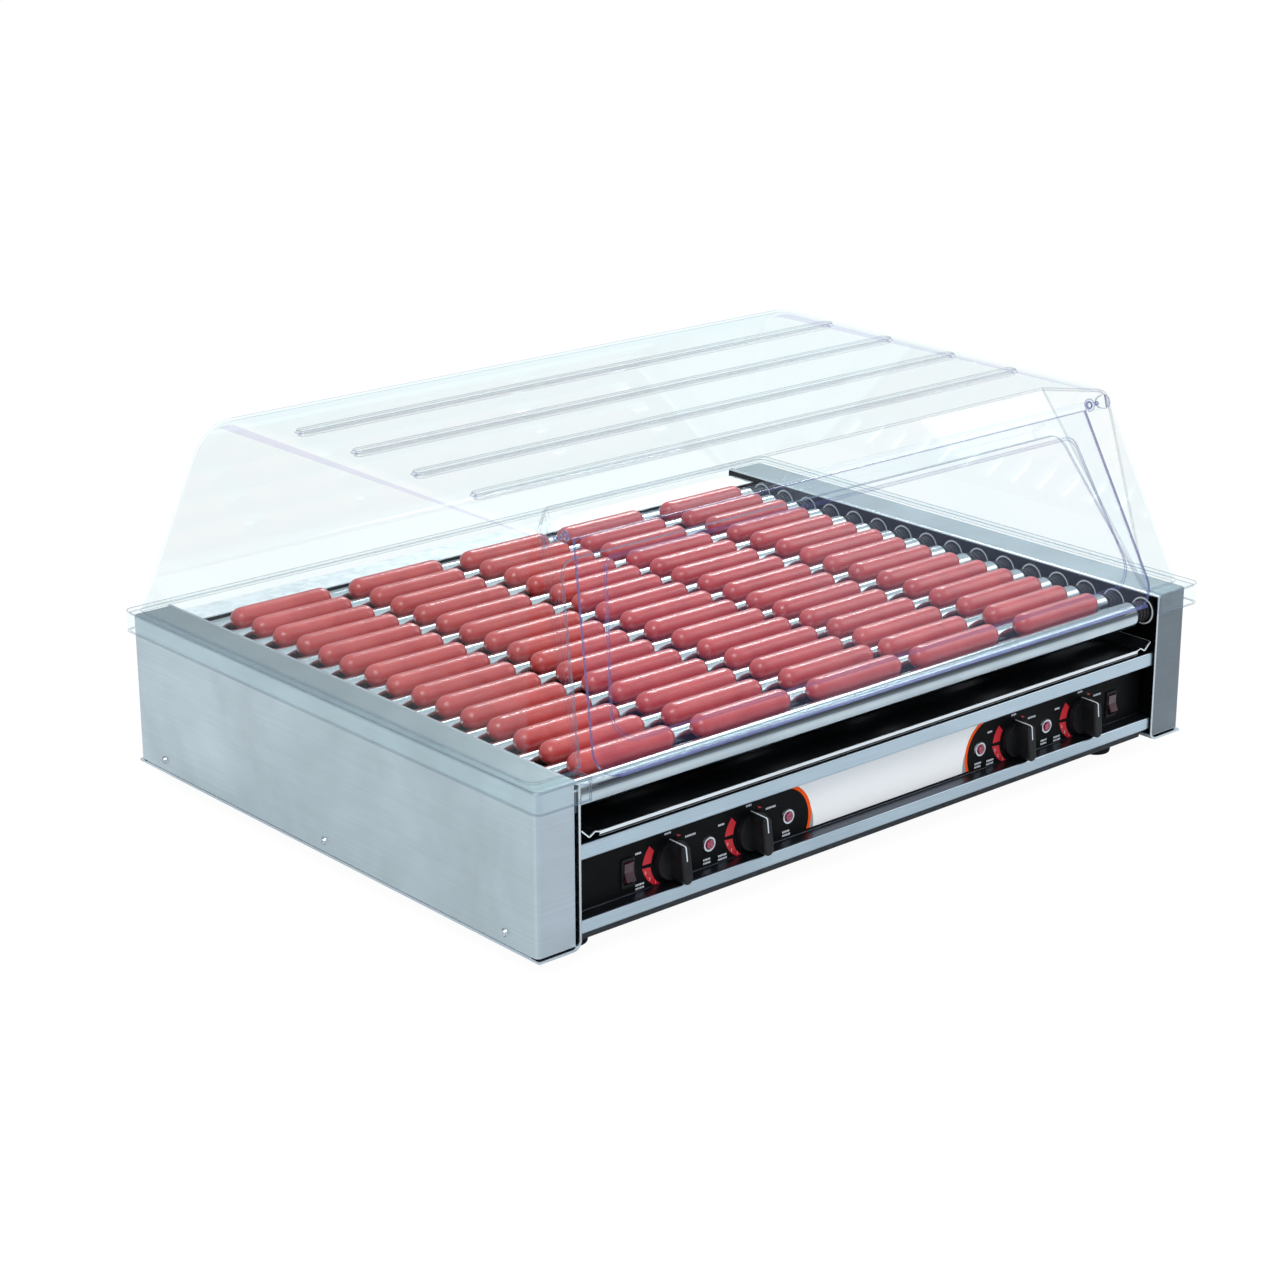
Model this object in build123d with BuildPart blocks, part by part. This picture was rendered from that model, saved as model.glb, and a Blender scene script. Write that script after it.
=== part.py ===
from build123d import *
import os
from math import atan2, cos, hypot, pi, radians, sin

# Hot dog roller grill with a clear lift-off guard. Millimetres, +Z up.
# The origin is on the counter under the middle of the grill, and the controls face -Y.

os.makedirs("parts", exist_ok=True)

# Housing
WIDTH = 902.0
DEPTH = 669.0
FOOT_HEIGHT = 18.0
COVER_BOTTOM = 22.0
DECK = 183.0                  # top of the end housings
END_WIDTH = 50.0              # each end housing, measured along X
SHEET = 1.2
FRAME_SHEET = 2.5
SEAM = 0.1                    # gap between sheets that only sit side by side
FRAME_PROUD = 2.5             # end frame edge in front of the cover
COVER_SEAM = 3.0              # dark groove between end frame and cover
HALF_WIDTH = WIDTH / 2
HALF_DEPTH = DEPTH / 2
INNER_X = HALF_WIDTH - END_WIDTH
PLATE_X = INNER_X + FRAME_SHEET
COVER_X = PLATE_X + COVER_SEAM
BAY_X = INNER_X - SEAM
CUT = 12.0                    # length of a cut that passes through any sheet

# Rollers, front to rear
ROLLERS = 16
GROUP = 8                     # rollers driven by one gearmotor
PITCH = 39.5
ROLLER_R = 14.0
TUBE_WALL = 1.5
FRONT_AXIS_Y = -318.0
AXIS_Z = 163.0
TUBE_LEFT = -396.0
TUBE_RIGHT = 376.0
JOURNAL_R = 8.0
JOURNAL_BORE = 5.5
JOURNAL_END = 425.0
RUNNING = 0.05                # radial clearance of a running fit

# Chain drive
CHAIN_PITCH = 6.35
LINK_R = 1.65
ROLLER_TEETH = 10
DRIVE_TEETH = 14
TOOTH_TIP = 1.1               # tooth height outside the pitch circle
SPROCKET_X = 416.0
SPROCKET_WIDTH = 2.6
DRIVE_Z = 82.0
DRIVE_SHAFT_R = 5.0

# Sausages
SAUSAGE_R = 12.0
SAUSAGE_LENGTH = 125.0
SAUSAGE_LEFT_TIPS = (-380.0, -231.0, -80.0, 62.0, 217.0)
SAUSAGE_GAP = 0.1             # kept clear of the rollers

# Control recess
FRONT_Y = -HALF_DEPTH
PANEL_Y = -318.0
RAIL_BOTTOM = 31.3
RAIL_STEP = 45.0
RECESS_TOP = 104.0
RAIL_TOP = 119.7
OVERLAY = 0.5
KNOB_Z = 66.5
KNOBS = {"front": -276.0, "front_middle": -172.0, "rear_middle": 203.5, "rear": 307.5}
KNOB_SKIRT_R = 20.5
PILOT_X = (-229.0, -125.5, 147.5, 249.3)
PILOT_Z = 68.5
ROCKERS = {"front": -330.3, "rear": 353.7}
ROCKER_Z = 68.0
ROCKER_TILT = 12.0

# Guard
WALL = 3.0                    # clear sheet thickness
GUARD_BASE = DECK + SEAM
GUARD_X = 6.0                 # the guard sits this far to the right on the housing
HOOD_TOP = 400.0              # mean height of the top, which rises from front to rear
HOOD_TOP_FRONT = 396.5
HOOD_TOP_REAR = 403.5
HOOD_BASE_X = 450.0
HOOD_TOP_X = 392.0
HOOD_FRONT_BASE = -321.0
HOOD_FRONT_TOP = -259.0
HOOD_REAR_BASE = 337.0
HOOD_REAR_TOP = 280.0
HOOD_BEND = 75.0
SKIRT_X = 461.0
SKIRT_FRONT = -341.0
SKIRT_REAR = 347.0
SKIRT_HEIGHT = 20.0
ROD_Y = -260.0
ROD_Z = 384.0
ROD_R = 4.5
ROD_HALF = 358.0
PIN_R = 2.5
PIN_END = 370.0

roller_y = [FRONT_AXIS_Y + PITCH * i for i in range(ROLLERS)]
sausage_z = AXIS_Z + ((ROLLER_R + SAUSAGE_R + SAUSAGE_GAP) ** 2 - (PITCH / 2) ** 2) ** 0.5


# Pieces are drawn about the middle of the housing, then moved so that the origin lies
# under the middle of the whole grill, with its guard and power cord
ORIGIN_X = -6.0
ORIGIN_Y = -15.4


def finish(piece, name, shift=0):
    """Label the finished piece, moved by shift along X and to the common origin, and write it."""
    shape = Pos(X=shift + ORIGIN_X, Y=ORIGIN_Y) * piece.part
    shape.label = name
    export_step(shape, f"parts/{name}.step")


def sheet_profile(points, bend, thickness, side=Side.LEFT):
    """Section of a bent sheet: the points run along one face."""
    with BuildSketch() as profile:
        with BuildLine():
            FilletPolyline(*points, radius=bend)
            offset(amount=thickness, side=side)
        make_face()
    return profile.sketch


# ---------------------------------------------------------------- housing

PAN_FRONT = -322.0
PAN_REAR = HALF_DEPTH - SHEET
PAN_TOP = 176.0
PAN_DECK = 41.0               # rear deck strip, from the back panel towards the last roller
CORD_X = 300.0
CORD_Z = 60.0
CORD_GLAND_R = 9.0
PAN_BEND = 2.5
PAN_LIP_GAP = 1.3
VENT_SIZE = (34.0, 5.0)
VENT_PITCH = 60.0
VENTS = 9
VENT_Z = 90.0

# Floor of the electrical bay with a low front upstand and the back panel, one bent sheet
pan_line = [
    (PAN_FRONT, RAIL_BOTTOM - PAN_LIP_GAP),
    (PAN_FRONT, FOOT_HEIGHT),
    (PAN_REAR, FOOT_HEIGHT),
    (PAN_REAR, PAN_TOP),
    (PAN_REAR - PAN_DECK, PAN_TOP),
]
with BuildPart() as base_pan:
    with BuildSketch(Plane.YZ):
        add(sheet_profile(pan_line, PAN_BEND, SHEET))
    extrude(amount=BAY_X, both=True)
    with Locations((CORD_X, PAN_REAR, CORD_Z)):
        Cylinder(CORD_GLAND_R, CUT, rotation=(90, 0, 0), mode=Mode.SUBTRACT)
    with BuildSketch(Plane.XZ.offset(-PAN_REAR)):
        with GridLocations(VENT_PITCH, 0, VENTS, 1):
            with Locations((0, VENT_Z)):
                SlotOverall(*VENT_SIZE)
    extrude(amount=CUT, both=True, mode=Mode.SUBTRACT)
finish(base_pan, "base_pan")

# End frames: one sheet each, bent into a deck flange, the bearing plate and the bottom flange,
# with an upturned lip that the cover is screwed to
LIP_OUT = HALF_WIDTH - SHEET - SEAM
LIP_TOP = 50.0
LIP_LENGTH = DEPTH - 20.0
FRAME_BENDS = (3.0, 10.0)
DRIVE_HOLE_R = DRIVE_SHAFT_R + 2.0
SCREW_Z = 33.0
SCREW_Y = (-287.0, -3.0, 287.0)
SCREW_R = 2.0
BEARING_HOLE_R = 13.0
frame_line = [
    (COVER_X - SEAM, DECK),
    (INNER_X, DECK),
    (INNER_X, FOOT_HEIGHT),
    (HALF_WIDTH, FOOT_HEIGHT),
]
drive_y = [(roller_y[0] + roller_y[GROUP - 1]) / 2, (roller_y[GROUP] + roller_y[-1]) / 2]

with BuildPart() as right_frame:
    with BuildSketch(Plane.XZ):
        add(sheet_profile(frame_line, FRAME_BENDS, FRAME_SHEET))
    extrude(amount=HALF_DEPTH + FRAME_PROUD, both=True)
    with Locations((LIP_OUT - FRAME_SHEET / 2, 0, (FOOT_HEIGHT + LIP_TOP) / 2)):
        Box(FRAME_SHEET, LIP_LENGTH, LIP_TOP - FOOT_HEIGHT)
    with Locations(*[(PLATE_X, y, AXIS_Z) for y in roller_y]):
        Cylinder(BEARING_HOLE_R, CUT, rotation=(0, 90, 0), mode=Mode.SUBTRACT)
    with Locations(*[(PLATE_X, y, DRIVE_Z) for y in drive_y]):
        Cylinder(DRIVE_HOLE_R, CUT, rotation=(0, 90, 0), mode=Mode.SUBTRACT)
    with Locations(*[(LIP_OUT, y, SCREW_Z) for y in SCREW_Y]):
        Cylinder(SCREW_R + RUNNING, CUT, rotation=(0, 90, 0), mode=Mode.SUBTRACT)
with BuildPart() as end_frames:
    add(right_frame.part)
    add(mirror(right_frame.part, about=Plane.YZ))
finish(end_frames, "end_frames")

# Covers: brushed boxes, open towards the frame and underneath
COVER_CORNER = 5.0
COVER_EDGE = 2.5
COVER_OPEN = 10.0


def cover_block(side, inset, open_by):
    """Box with rounded outer edges, drawn open_by longer at the inner side and underneath."""
    outer_x = HALF_WIDTH - inset
    inner_x = COVER_X - open_by
    low_z = COVER_BOTTOM - open_by
    high_z = DECK - inset
    with BuildPart() as block:
        with Locations((side * (outer_x + inner_x) / 2, 0, (low_z + high_z) / 2)):
            Box(outer_x - inner_x, DEPTH - 2 * inset, high_z - low_z)
        outer_face = block.faces().sort_by(Axis.X)[-1 if side > 0 else 0]
        fillet(outer_face.edges().filter_by(Axis.Z), radius=COVER_CORNER - inset)
        top_edges = block.faces().sort_by(Axis.Z)[-1].edges()
        if inset == 0:
            inner_edge = top_edges.filter_by(Axis.Y).sort_by(lambda e: abs(e.center().X))[0]
            fillet(top_edges - [inner_edge], radius=COVER_EDGE)
    return block.part


for side, name in ((1, "right_end_cover"), (-1, "left_end_cover")):
    with BuildPart() as cover:
        add(cover_block(side, 0, 0))
        add(cover_block(side, SHEET, COVER_OPEN), mode=Mode.SUBTRACT)
        with Locations(*[(side * HALF_WIDTH, y, SCREW_Z) for y in SCREW_Y]):
            Cylinder(SCREW_R + RUNNING, CUT, rotation=(0, 90, 0), mode=Mode.SUBTRACT)
    finish(cover, name)

HEAD_R = 4.4
HEAD_HEIGHT = 2.6
HEAD_TAPER = 28.0
SCREW_LENGTH = 8.0
SLOT_WIDTH = 0.9
SLOT_DEPTH = 1.2
FIRST_TURN = 25.0             # each slot stands at its own angle
NEXT_TURN = 40.0
with BuildPart() as cover_screws:
    for side in (-1, 1):
        for number, y in enumerate(SCREW_Y):
            turn = FIRST_TURN + NEXT_TURN * number
            seat = Plane((side * HALF_WIDTH, y, SCREW_Z), x_dir=(0, 1, 0), z_dir=(side, 0, 0))
            with BuildSketch(seat):
                Circle(HEAD_R)
            extrude(amount=HEAD_HEIGHT, taper=HEAD_TAPER)
            with BuildSketch(seat):
                Circle(SCREW_R)
            extrude(amount=-SCREW_LENGTH)
            with BuildSketch(seat.offset(HEAD_HEIGHT)):
                Rectangle(3 * HEAD_R, SLOT_WIDTH, rotation=turn)
            extrude(amount=-SLOT_DEPTH, mode=Mode.SUBTRACT)
finish(cover_screws, "cover_screws")

# Feet: tapered rubber, on the floor of the frames
FOOT_X = 372.0
FOOT_Y = 285.0
FOOT_R = 19.0
FOOT_TAPER = 9.0
FOOT_EDGE = 2.0
with BuildPart() as feet:
    with BuildSketch(Plane.XY.offset(FOOT_HEIGHT)):
        with GridLocations(2 * FOOT_X, 2 * FOOT_Y, 2, 2):
            Circle(FOOT_R)
    extrude(amount=-FOOT_HEIGHT, taper=FOOT_TAPER)
    fillet(feet.faces().group_by(Axis.Z)[0].edges(), radius=FOOT_EDGE)
finish(feet, "feet")

# ---------------------------------------------------------------- control recess

CHANNEL_RETURN = 8.0
CHANNEL_SHELF = 22.0
CHANNEL_BEND = 2.0

# One bent sheet: bottom rail, recessed panel and top rail
channel_line = [
    (PANEL_Y + CHANNEL_RETURN, RAIL_BOTTOM),
    (FRONT_Y, RAIL_BOTTOM),
    (FRONT_Y, RAIL_STEP),
    (PANEL_Y, RAIL_STEP),
    (PANEL_Y, RECESS_TOP),
    (FRONT_Y, RECESS_TOP),
    (FRONT_Y, RAIL_TOP),
    (PANEL_Y + CHANNEL_SHELF, RAIL_TOP),
]
ROCKER_WIDTH = 11.0
ROCKER_R = 11.0
ROCKER_BODY = (13.4, 24.6)
PILOT_BODY_R = 6.0
BUSH_R = 5.0


def panel_holes(clearance):
    """Cut-outs that every layer of the panel shares."""
    with Locations(*[(x, KNOB_Z) for x in KNOBS.values()]):
        Circle(BUSH_R + clearance)
    with Locations(*[(x, PILOT_Z) for x in PILOT_X]):
        Circle(PILOT_BODY_R + clearance)
    with Locations(*[(x, ROCKER_Z) for x in ROCKERS.values()]):
        Rectangle(ROCKER_BODY[0] + 2 * clearance, ROCKER_BODY[1] + 2 * clearance)


with BuildPart() as control_channel:
    with BuildSketch(Plane.YZ):
        add(sheet_profile(channel_line, CHANNEL_BEND, SHEET, Side.RIGHT))
    extrude(amount=BAY_X, both=True)
    with BuildSketch(Plane.XZ.offset(-PANEL_Y)):
        panel_holes(SEAM)
    extrude(amount=CUT / 2, both=True, mode=Mode.SUBTRACT)
finish(control_channel, "control_channel")

OVERLAY_BOTTOM = 48.0
OVERLAY_TOP = 101.0
OVERLAY_HALF = 400.5
OVERLAY_CORNER = 2.0
with BuildPart() as control_overlay:
    with BuildSketch(Plane.XZ.offset(-PANEL_Y)):
        with Locations((0, (OVERLAY_BOTTOM + OVERLAY_TOP) / 2)):
            RectangleRounded(2 * OVERLAY_HALF, OVERLAY_TOP - OVERLAY_BOTTOM, OVERLAY_CORNER)
        with BuildSketch(mode=Mode.SUBTRACT):
            panel_holes(SEAM)
    extrude(amount=OVERLAY)
finish(control_overlay, "control_overlay")

FACE_Y = PANEL_Y - OVERLAY    # front of the overlay
SHAFT_R = 3.0
GRIP_LENGTH = 42.0
GRIP_TOP = 23.0
GRIP_LEAN = 7.0               # the grip leans left of upright at its off stop
SKIRT_THICKNESS = 5.0
GRIP_BASE = 13.0
GRIP_TAPER = 2.0
DISC_TAPER = 12.0
KNOB_EDGE = 2.0
KNOB_GAP = 0.3
SOCKET_DEPTH = 16.0
SHAFT_TIP = 15.5
SHAFT_LENGTH = 36.0
for knob_name, knob_x in KNOBS.items():
    seat = Plane((knob_x, FACE_Y - KNOB_GAP, KNOB_Z), x_dir=(1, 0, 0), z_dir=(0, -1, 0))
    with BuildPart() as knob_body:
        with BuildSketch(seat):
            Circle(KNOB_SKIRT_R)
        extrude(amount=SKIRT_THICKNESS, taper=DISC_TAPER)
        with BuildSketch(seat):
            SlotOverall(GRIP_LENGTH, GRIP_BASE, rotation=90 + GRIP_LEAN)
        extrude(amount=GRIP_TOP, taper=GRIP_TAPER)
        fillet(knob_body.faces().sort_by(Axis.Y)[0].edges(), radius=KNOB_EDGE)
        with BuildSketch(seat):
            Circle(SHAFT_R)
        extrude(amount=SOCKET_DEPTH, mode=Mode.SUBTRACT)
    with BuildPart() as knob:
        add(knob_body.part)
        with BuildSketch(seat.offset(SHAFT_TIP)):
            Circle(SHAFT_R - RUNNING)
        extrude(amount=-SHAFT_LENGTH)
    finish(knob, f"{knob_name}_knob")

# Thermostats behind the panel, each a block with a threaded bush for the knob's shaft
THERMOSTAT = (44.0, 26.0, 40.0)
THERMOSTAT_CORNER = 3.0
THERMOSTAT_BORE = (5.0, 30.0)  # where the shaft hole starts, and its depth
BACK_Y = PANEL_Y + SHEET      # rear face of the panel
with BuildPart() as thermostats:
    for knob_x in KNOBS.values():
        seat = Plane((knob_x, BACK_Y + SEAM, KNOB_Z), x_dir=(1, 0, 0), z_dir=(0, -1, 0))
        with BuildSketch(seat):
            RectangleRounded(THERMOSTAT[0], THERMOSTAT[2], THERMOSTAT_CORNER)
        extrude(amount=-THERMOSTAT[1])
        with BuildSketch(seat):
            Circle(BUSH_R)
        extrude(amount=SHEET + OVERLAY)
        with BuildSketch(seat.offset(THERMOSTAT_BORE[0])):
            Circle(SHAFT_R)
        extrude(amount=-THERMOSTAT_BORE[1], mode=Mode.SUBTRACT)
finish(thermostats, "thermostats")

# Pilot lights: a bezel with its body behind the panel, and a domed lens
PILOT_RING_R = 8.0
LENS_R = 5.4
RING_HEIGHT = 2.0
RING_TAPER = 20.0
PILOT_DEPTH = 22.0
LENS_POCKET = 6.0
LENS_SEAT = 1.0
LENS_HEIGHT = 2.5
LENS_TAPER = 22.0
with BuildPart() as pilot_lights:
    for pilot_x in PILOT_X:
        seat = Plane((pilot_x, FACE_Y, PILOT_Z), x_dir=(1, 0, 0), z_dir=(0, -1, 0))
        with BuildSketch(seat):
            Circle(PILOT_RING_R)
        extrude(amount=RING_HEIGHT, taper=RING_TAPER)
        with BuildSketch(seat):
            Circle(PILOT_BODY_R)
        extrude(amount=-PILOT_DEPTH)
        with BuildSketch(seat.offset(RING_HEIGHT)):
            Circle(LENS_R)
        extrude(amount=-LENS_POCKET, mode=Mode.SUBTRACT)
    for pilot_x in PILOT_X:
        seat = Plane((pilot_x, FACE_Y - LENS_SEAT, PILOT_Z), x_dir=(1, 0, 0), z_dir=(0, -1, 0))
        with BuildSketch(seat):
            Circle(LENS_R - RUNNING)
        extrude(amount=LENS_HEIGHT, taper=LENS_TAPER)
        with BuildSketch(seat):
            Circle(LENS_R - RUNNING)
        extrude(amount=-LENS_HEIGHT)
finish(pilot_lights, "pilot_lights")

# Rocker switches: a housing clipped in the panel, and a see-saw button on a pivot
BEZEL = (16.0, 29.0)
POCKET = (11.8, 23.2)
PIVOT_Y = FACE_Y + 2.0
PIVOT_R = 1.5
PIVOT_SHORT = 0.4
BEZEL_CORNER = 1.5
BEZEL_HEIGHT = 1.6
SWITCH_DEPTH = 26.0
POCKET_DEPTH = 16.0
BUTTON = [(-3.0, -10.0), (7.0, -10.0), (4.6, 0.0), (7.0, 10.0), (-3.0, 10.0)]
with BuildPart() as rocker_housings:
    for rocker_x in ROCKERS.values():
        seat = Plane((rocker_x, FACE_Y, ROCKER_Z), x_dir=(1, 0, 0), z_dir=(0, -1, 0))
        with BuildSketch(seat):
            RectangleRounded(*BEZEL, BEZEL_CORNER)
        extrude(amount=BEZEL_HEIGHT)
        with BuildSketch(seat):
            Rectangle(*ROCKER_BODY)
        extrude(amount=-SWITCH_DEPTH)
        with BuildSketch(seat.offset(BEZEL_HEIGHT)):
            Rectangle(*POCKET)
        extrude(amount=-POCKET_DEPTH, mode=Mode.SUBTRACT)
        with Locations((rocker_x, PIVOT_Y, ROCKER_Z)):
            pivot_length = ROCKER_BODY[0] - PIVOT_SHORT
            Cylinder(PIVOT_R + RUNNING, pivot_length, rotation=(0, 90, 0), mode=Mode.SUBTRACT)
finish(rocker_housings, "rocker_housings")

# At rest the upper end of each button is pressed in
rocker_tilt = radians(ROCKER_TILT)
for rocker_name, rocker_x in ROCKERS.items():
    forward = (0, -cos(rocker_tilt), sin(rocker_tilt))
    pivot = Plane((rocker_x, PIVOT_Y, ROCKER_Z), x_dir=forward, z_dir=(-1, 0, 0))
    with BuildPart() as rocker:
        with BuildSketch(pivot):
            Polygon(*BUTTON, align=None)
            Circle(ROCKER_R, mode=Mode.INTERSECT)
        extrude(amount=ROCKER_WIDTH / 2, both=True)
        with BuildSketch(pivot):
            Circle(PIVOT_R)
        extrude(amount=ROCKER_BODY[0] / 2 - PIVOT_SHORT, both=True)
    finish(rocker, f"{rocker_name}_rocker")

# ---------------------------------------------------------------- rollers and drive


def pitch_radius(teeth):
    return CHAIN_PITCH / (2 * sin(pi / teeth))


def sprocket_sketch(teeth):
    """Toothed disc: a round seat for each chain link."""
    with BuildSketch() as disc:
        Circle(pitch_radius(teeth) + TOOTH_TIP)
        with PolarLocations(pitch_radius(teeth), teeth):
            Circle(LINK_R, mode=Mode.SUBTRACT)
    return disc.sketch


roller_sprocket = sprocket_sketch(ROLLER_TEETH)
drive_sprocket = sprocket_sketch(DRIVE_TEETH)
TUBE_INNER_R = ROLLER_R - TUBE_WALL
HUB_DEPTH = 12.0
TUBE_EDGE = 1.0
LEFT_JOURNAL_END = 415.0

with BuildPart() as roller_tube:
    with BuildSketch(Plane.YZ.offset(TUBE_LEFT)):
        Circle(ROLLER_R)
    extrude(amount=TUBE_RIGHT - TUBE_LEFT)
    fillet(roller_tube.edges(), radius=TUBE_EDGE)
    with BuildSketch(Plane.YZ.offset(TUBE_LEFT)):
        Circle(TUBE_INNER_R)
    extrude(amount=TUBE_RIGHT - TUBE_LEFT, mode=Mode.SUBTRACT)

with BuildPart() as left_hub:
    with BuildSketch(Plane.YZ.offset(TUBE_LEFT + HUB_DEPTH)):
        Circle(TUBE_INNER_R)
    extrude(amount=-HUB_DEPTH)
    with BuildSketch(Plane.YZ.offset(TUBE_LEFT)):
        Circle(JOURNAL_R)
    extrude(amount=-(LEFT_JOURNAL_END + TUBE_LEFT))
    with BuildSketch(Plane.YZ.offset(TUBE_LEFT + HUB_DEPTH)):
        Circle(JOURNAL_BORE)
    extrude(amount=-(LEFT_JOURNAL_END + TUBE_LEFT + HUB_DEPTH), mode=Mode.SUBTRACT)

with BuildPart() as right_hub:
    with BuildSketch(Plane.YZ.offset(TUBE_RIGHT - HUB_DEPTH)):
        Circle(TUBE_INNER_R)
    extrude(amount=HUB_DEPTH)
    with BuildSketch(Plane.YZ.offset(TUBE_RIGHT)):
        Circle(JOURNAL_R)
    extrude(amount=JOURNAL_END - TUBE_RIGHT)
    with BuildSketch(Plane.YZ.offset(SPROCKET_X)):
        add(roller_sprocket)
    extrude(amount=SPROCKET_WIDTH)
    with BuildSketch(Plane.YZ.offset(TUBE_RIGHT - HUB_DEPTH)):
        Circle(JOURNAL_BORE)
    extrude(amount=JOURNAL_END - TUBE_RIGHT + HUB_DEPTH, mode=Mode.SUBTRACT)

for number, y in enumerate(roller_y, start=1):
    with BuildPart() as roller:
        with Locations((0, y, AXIS_Z)):
            add(roller_tube.part)
            add(left_hub.part)
            add(right_hub.part)
    finish(roller, f"roller_{number:02d}")

# Flanged bearings pressed through the frame plates
BEARING_OUT = 407.0
BEARING_FIT = 0.02
BEARING_R = BEARING_HOLE_R - BEARING_FIT
FLANGE_R = 15.5
FLANGE_X = INNER_X - 2.0
with BuildPart() as bearing:
    with BuildSketch(Plane.YZ.offset(FLANGE_X)):
        Circle(FLANGE_R)
    extrude(amount=INNER_X - FLANGE_X)
    with BuildSketch(Plane.YZ.offset(INNER_X)):
        Circle(BEARING_R)
    extrude(amount=BEARING_OUT - INNER_X)
    with BuildSketch(Plane.YZ.offset(FLANGE_X)):
        Circle(JOURNAL_R + RUNNING)
    extrude(amount=BEARING_OUT - FLANGE_X, mode=Mode.SUBTRACT)
left_bearing = mirror(bearing.part, about=Plane.YZ)
with BuildPart() as roller_bearings:
    with Locations(*[(0, y, AXIS_Z) for y in roller_y]):
        add(bearing.part)
        add(left_bearing)
finish(roller_bearings, "roller_bearings")

# Grease seals: a plain ring at the left and a long ribbed sleeve at the right
SEAL_R = 10.0
SEAL_RIB_R = 11.2
SEAL_RIBS = 4
SEAL_RIB_PITCH = 5.4
SEAL_RIB_WIDTH = 2.6
FIRST_SEAL_RIB = 2.0
SEAL_GAP = 0.3
with BuildPart() as right_seal:
    with BuildSketch(Plane.YZ.offset(TUBE_RIGHT + SEAL_GAP)):
        Circle(SEAL_R)
    extrude(amount=FLANGE_X - TUBE_RIGHT - 2 * SEAL_GAP)
    for rib in range(SEAL_RIBS):
        with BuildSketch(Plane.YZ.offset(TUBE_RIGHT + FIRST_SEAL_RIB + SEAL_RIB_PITCH * rib)):
            Circle(SEAL_RIB_R)
        extrude(amount=SEAL_RIB_WIDTH)
    with BuildSketch(Plane.YZ.offset(TUBE_RIGHT)):
        Circle(JOURNAL_R + RUNNING)
    extrude(amount=FLANGE_X - TUBE_RIGHT, mode=Mode.SUBTRACT)
with BuildPart() as left_seal:
    with BuildSketch(Plane.YZ.offset(TUBE_LEFT - SEAL_GAP)):
        Circle(SEAL_RIB_R)
        Circle(JOURNAL_R + RUNNING, mode=Mode.SUBTRACT)
    extrude(amount=-(FLANGE_X + TUBE_LEFT - 2 * SEAL_GAP))
with BuildPart() as roller_seals:
    with Locations(*[(0, y, AXIS_Z) for y in roller_y]):
        add(right_seal.part)
        add(left_seal.part)
finish(roller_seals, "roller_seals")

# Tubular heating elements, fixed, running through the hollow rollers
ELEMENT_R = 4.0
ELEMENT_HALF = 438.0
TERMINAL_HALF = 445.0
TERMINAL_R = 1.5
with BuildPart() as heating_elements:
    with BuildSketch(Plane.YZ):
        with Locations(*[(y, AXIS_Z) for y in roller_y]):
            Circle(ELEMENT_R)
    extrude(amount=ELEMENT_HALF, both=True)
    with BuildSketch(Plane.YZ):
        with Locations(*[(y, AXIS_Z) for y in roller_y]):
            Circle(TERMINAL_R)
    extrude(amount=TERMINAL_HALF, both=True)
finish(heating_elements, "heating_elements")

# Brackets that hold the element ends, and the angles that the drip tray slides on
BRACKET_X = 430.0
BRACKET_HALF_HEIGHT = 11.0
BRACKET_FRONT = -332.9
BRACKET_REAR = 298.0
RUNNER_IN = 383.0
RUNNER_TOP = 123.0
RUNNER_FRONT = -294.0
RUNNER_REAR = 300.0
RUNNER_DROP = 18.0
RUNNER_BEND = 2.0
BRACKET_SHEET = 1.5
runner_line = [(RUNNER_IN, RUNNER_TOP), (BAY_X, RUNNER_TOP), (BAY_X, RUNNER_TOP - RUNNER_DROP)]
with BuildPart() as right_brackets:
    with BuildSketch(Plane.XY.offset(AXIS_Z - BRACKET_HALF_HEIGHT)):
        with BuildLine():
            Polyline(
                (PLATE_X, BRACKET_FRONT),
                (BRACKET_X, BRACKET_FRONT),
                (BRACKET_X, BRACKET_REAR),
                (PLATE_X, BRACKET_REAR),
            )
            offset(amount=BRACKET_SHEET, side=Side.LEFT)
        make_face()
    extrude(amount=2 * BRACKET_HALF_HEIGHT)
    with Locations(*[(BRACKET_X, y, AXIS_Z) for y in roller_y]):
        Cylinder(ELEMENT_R + RUNNING, CUT, rotation=(0, 90, 0), mode=Mode.SUBTRACT)
    with BuildSketch(Plane.XZ.offset(-RUNNER_FRONT)):
        add(sheet_profile(runner_line, RUNNER_BEND, SHEET, Side.RIGHT))
    extrude(amount=RUNNER_FRONT - RUNNER_REAR)
with BuildPart() as mounting_brackets:
    add(right_brackets.part)
    add(mirror(right_brackets.part, about=Plane.YZ))
finish(mounting_brackets, "mounting_brackets")

# Drive: each gearmotor stands on the bay floor and turns one sprocket in the right housing
GEARBOX = (44.0, 86.0, 84.0)
MOTOR_R = 34.0
MOTOR_LENGTH = 62.0
SHAFT_BORE = 60.0
GEARBOX_X = BAY_X - GEARBOX[0]
MOTOR_FLOOR = FOOT_HEIGHT + SHEET + SEAM
with BuildPart() as gearmotors:
    for y in drive_y:
        with Locations((GEARBOX_X + GEARBOX[0] / 2, y, MOTOR_FLOOR + GEARBOX[2] / 2)):
            Box(*GEARBOX)
        with Locations((GEARBOX_X - MOTOR_LENGTH / 2, y, MOTOR_FLOOR + GEARBOX[2] / 2)):
            Cylinder(MOTOR_R, MOTOR_LENGTH, rotation=(0, 90, 0))
        with Locations((GEARBOX_X + GEARBOX[0], y, DRIVE_Z)):
            Cylinder(DRIVE_SHAFT_R + RUNNING, SHAFT_BORE, rotation=(0, 90, 0), mode=Mode.SUBTRACT)
finish(gearmotors, "gearmotors")

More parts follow.
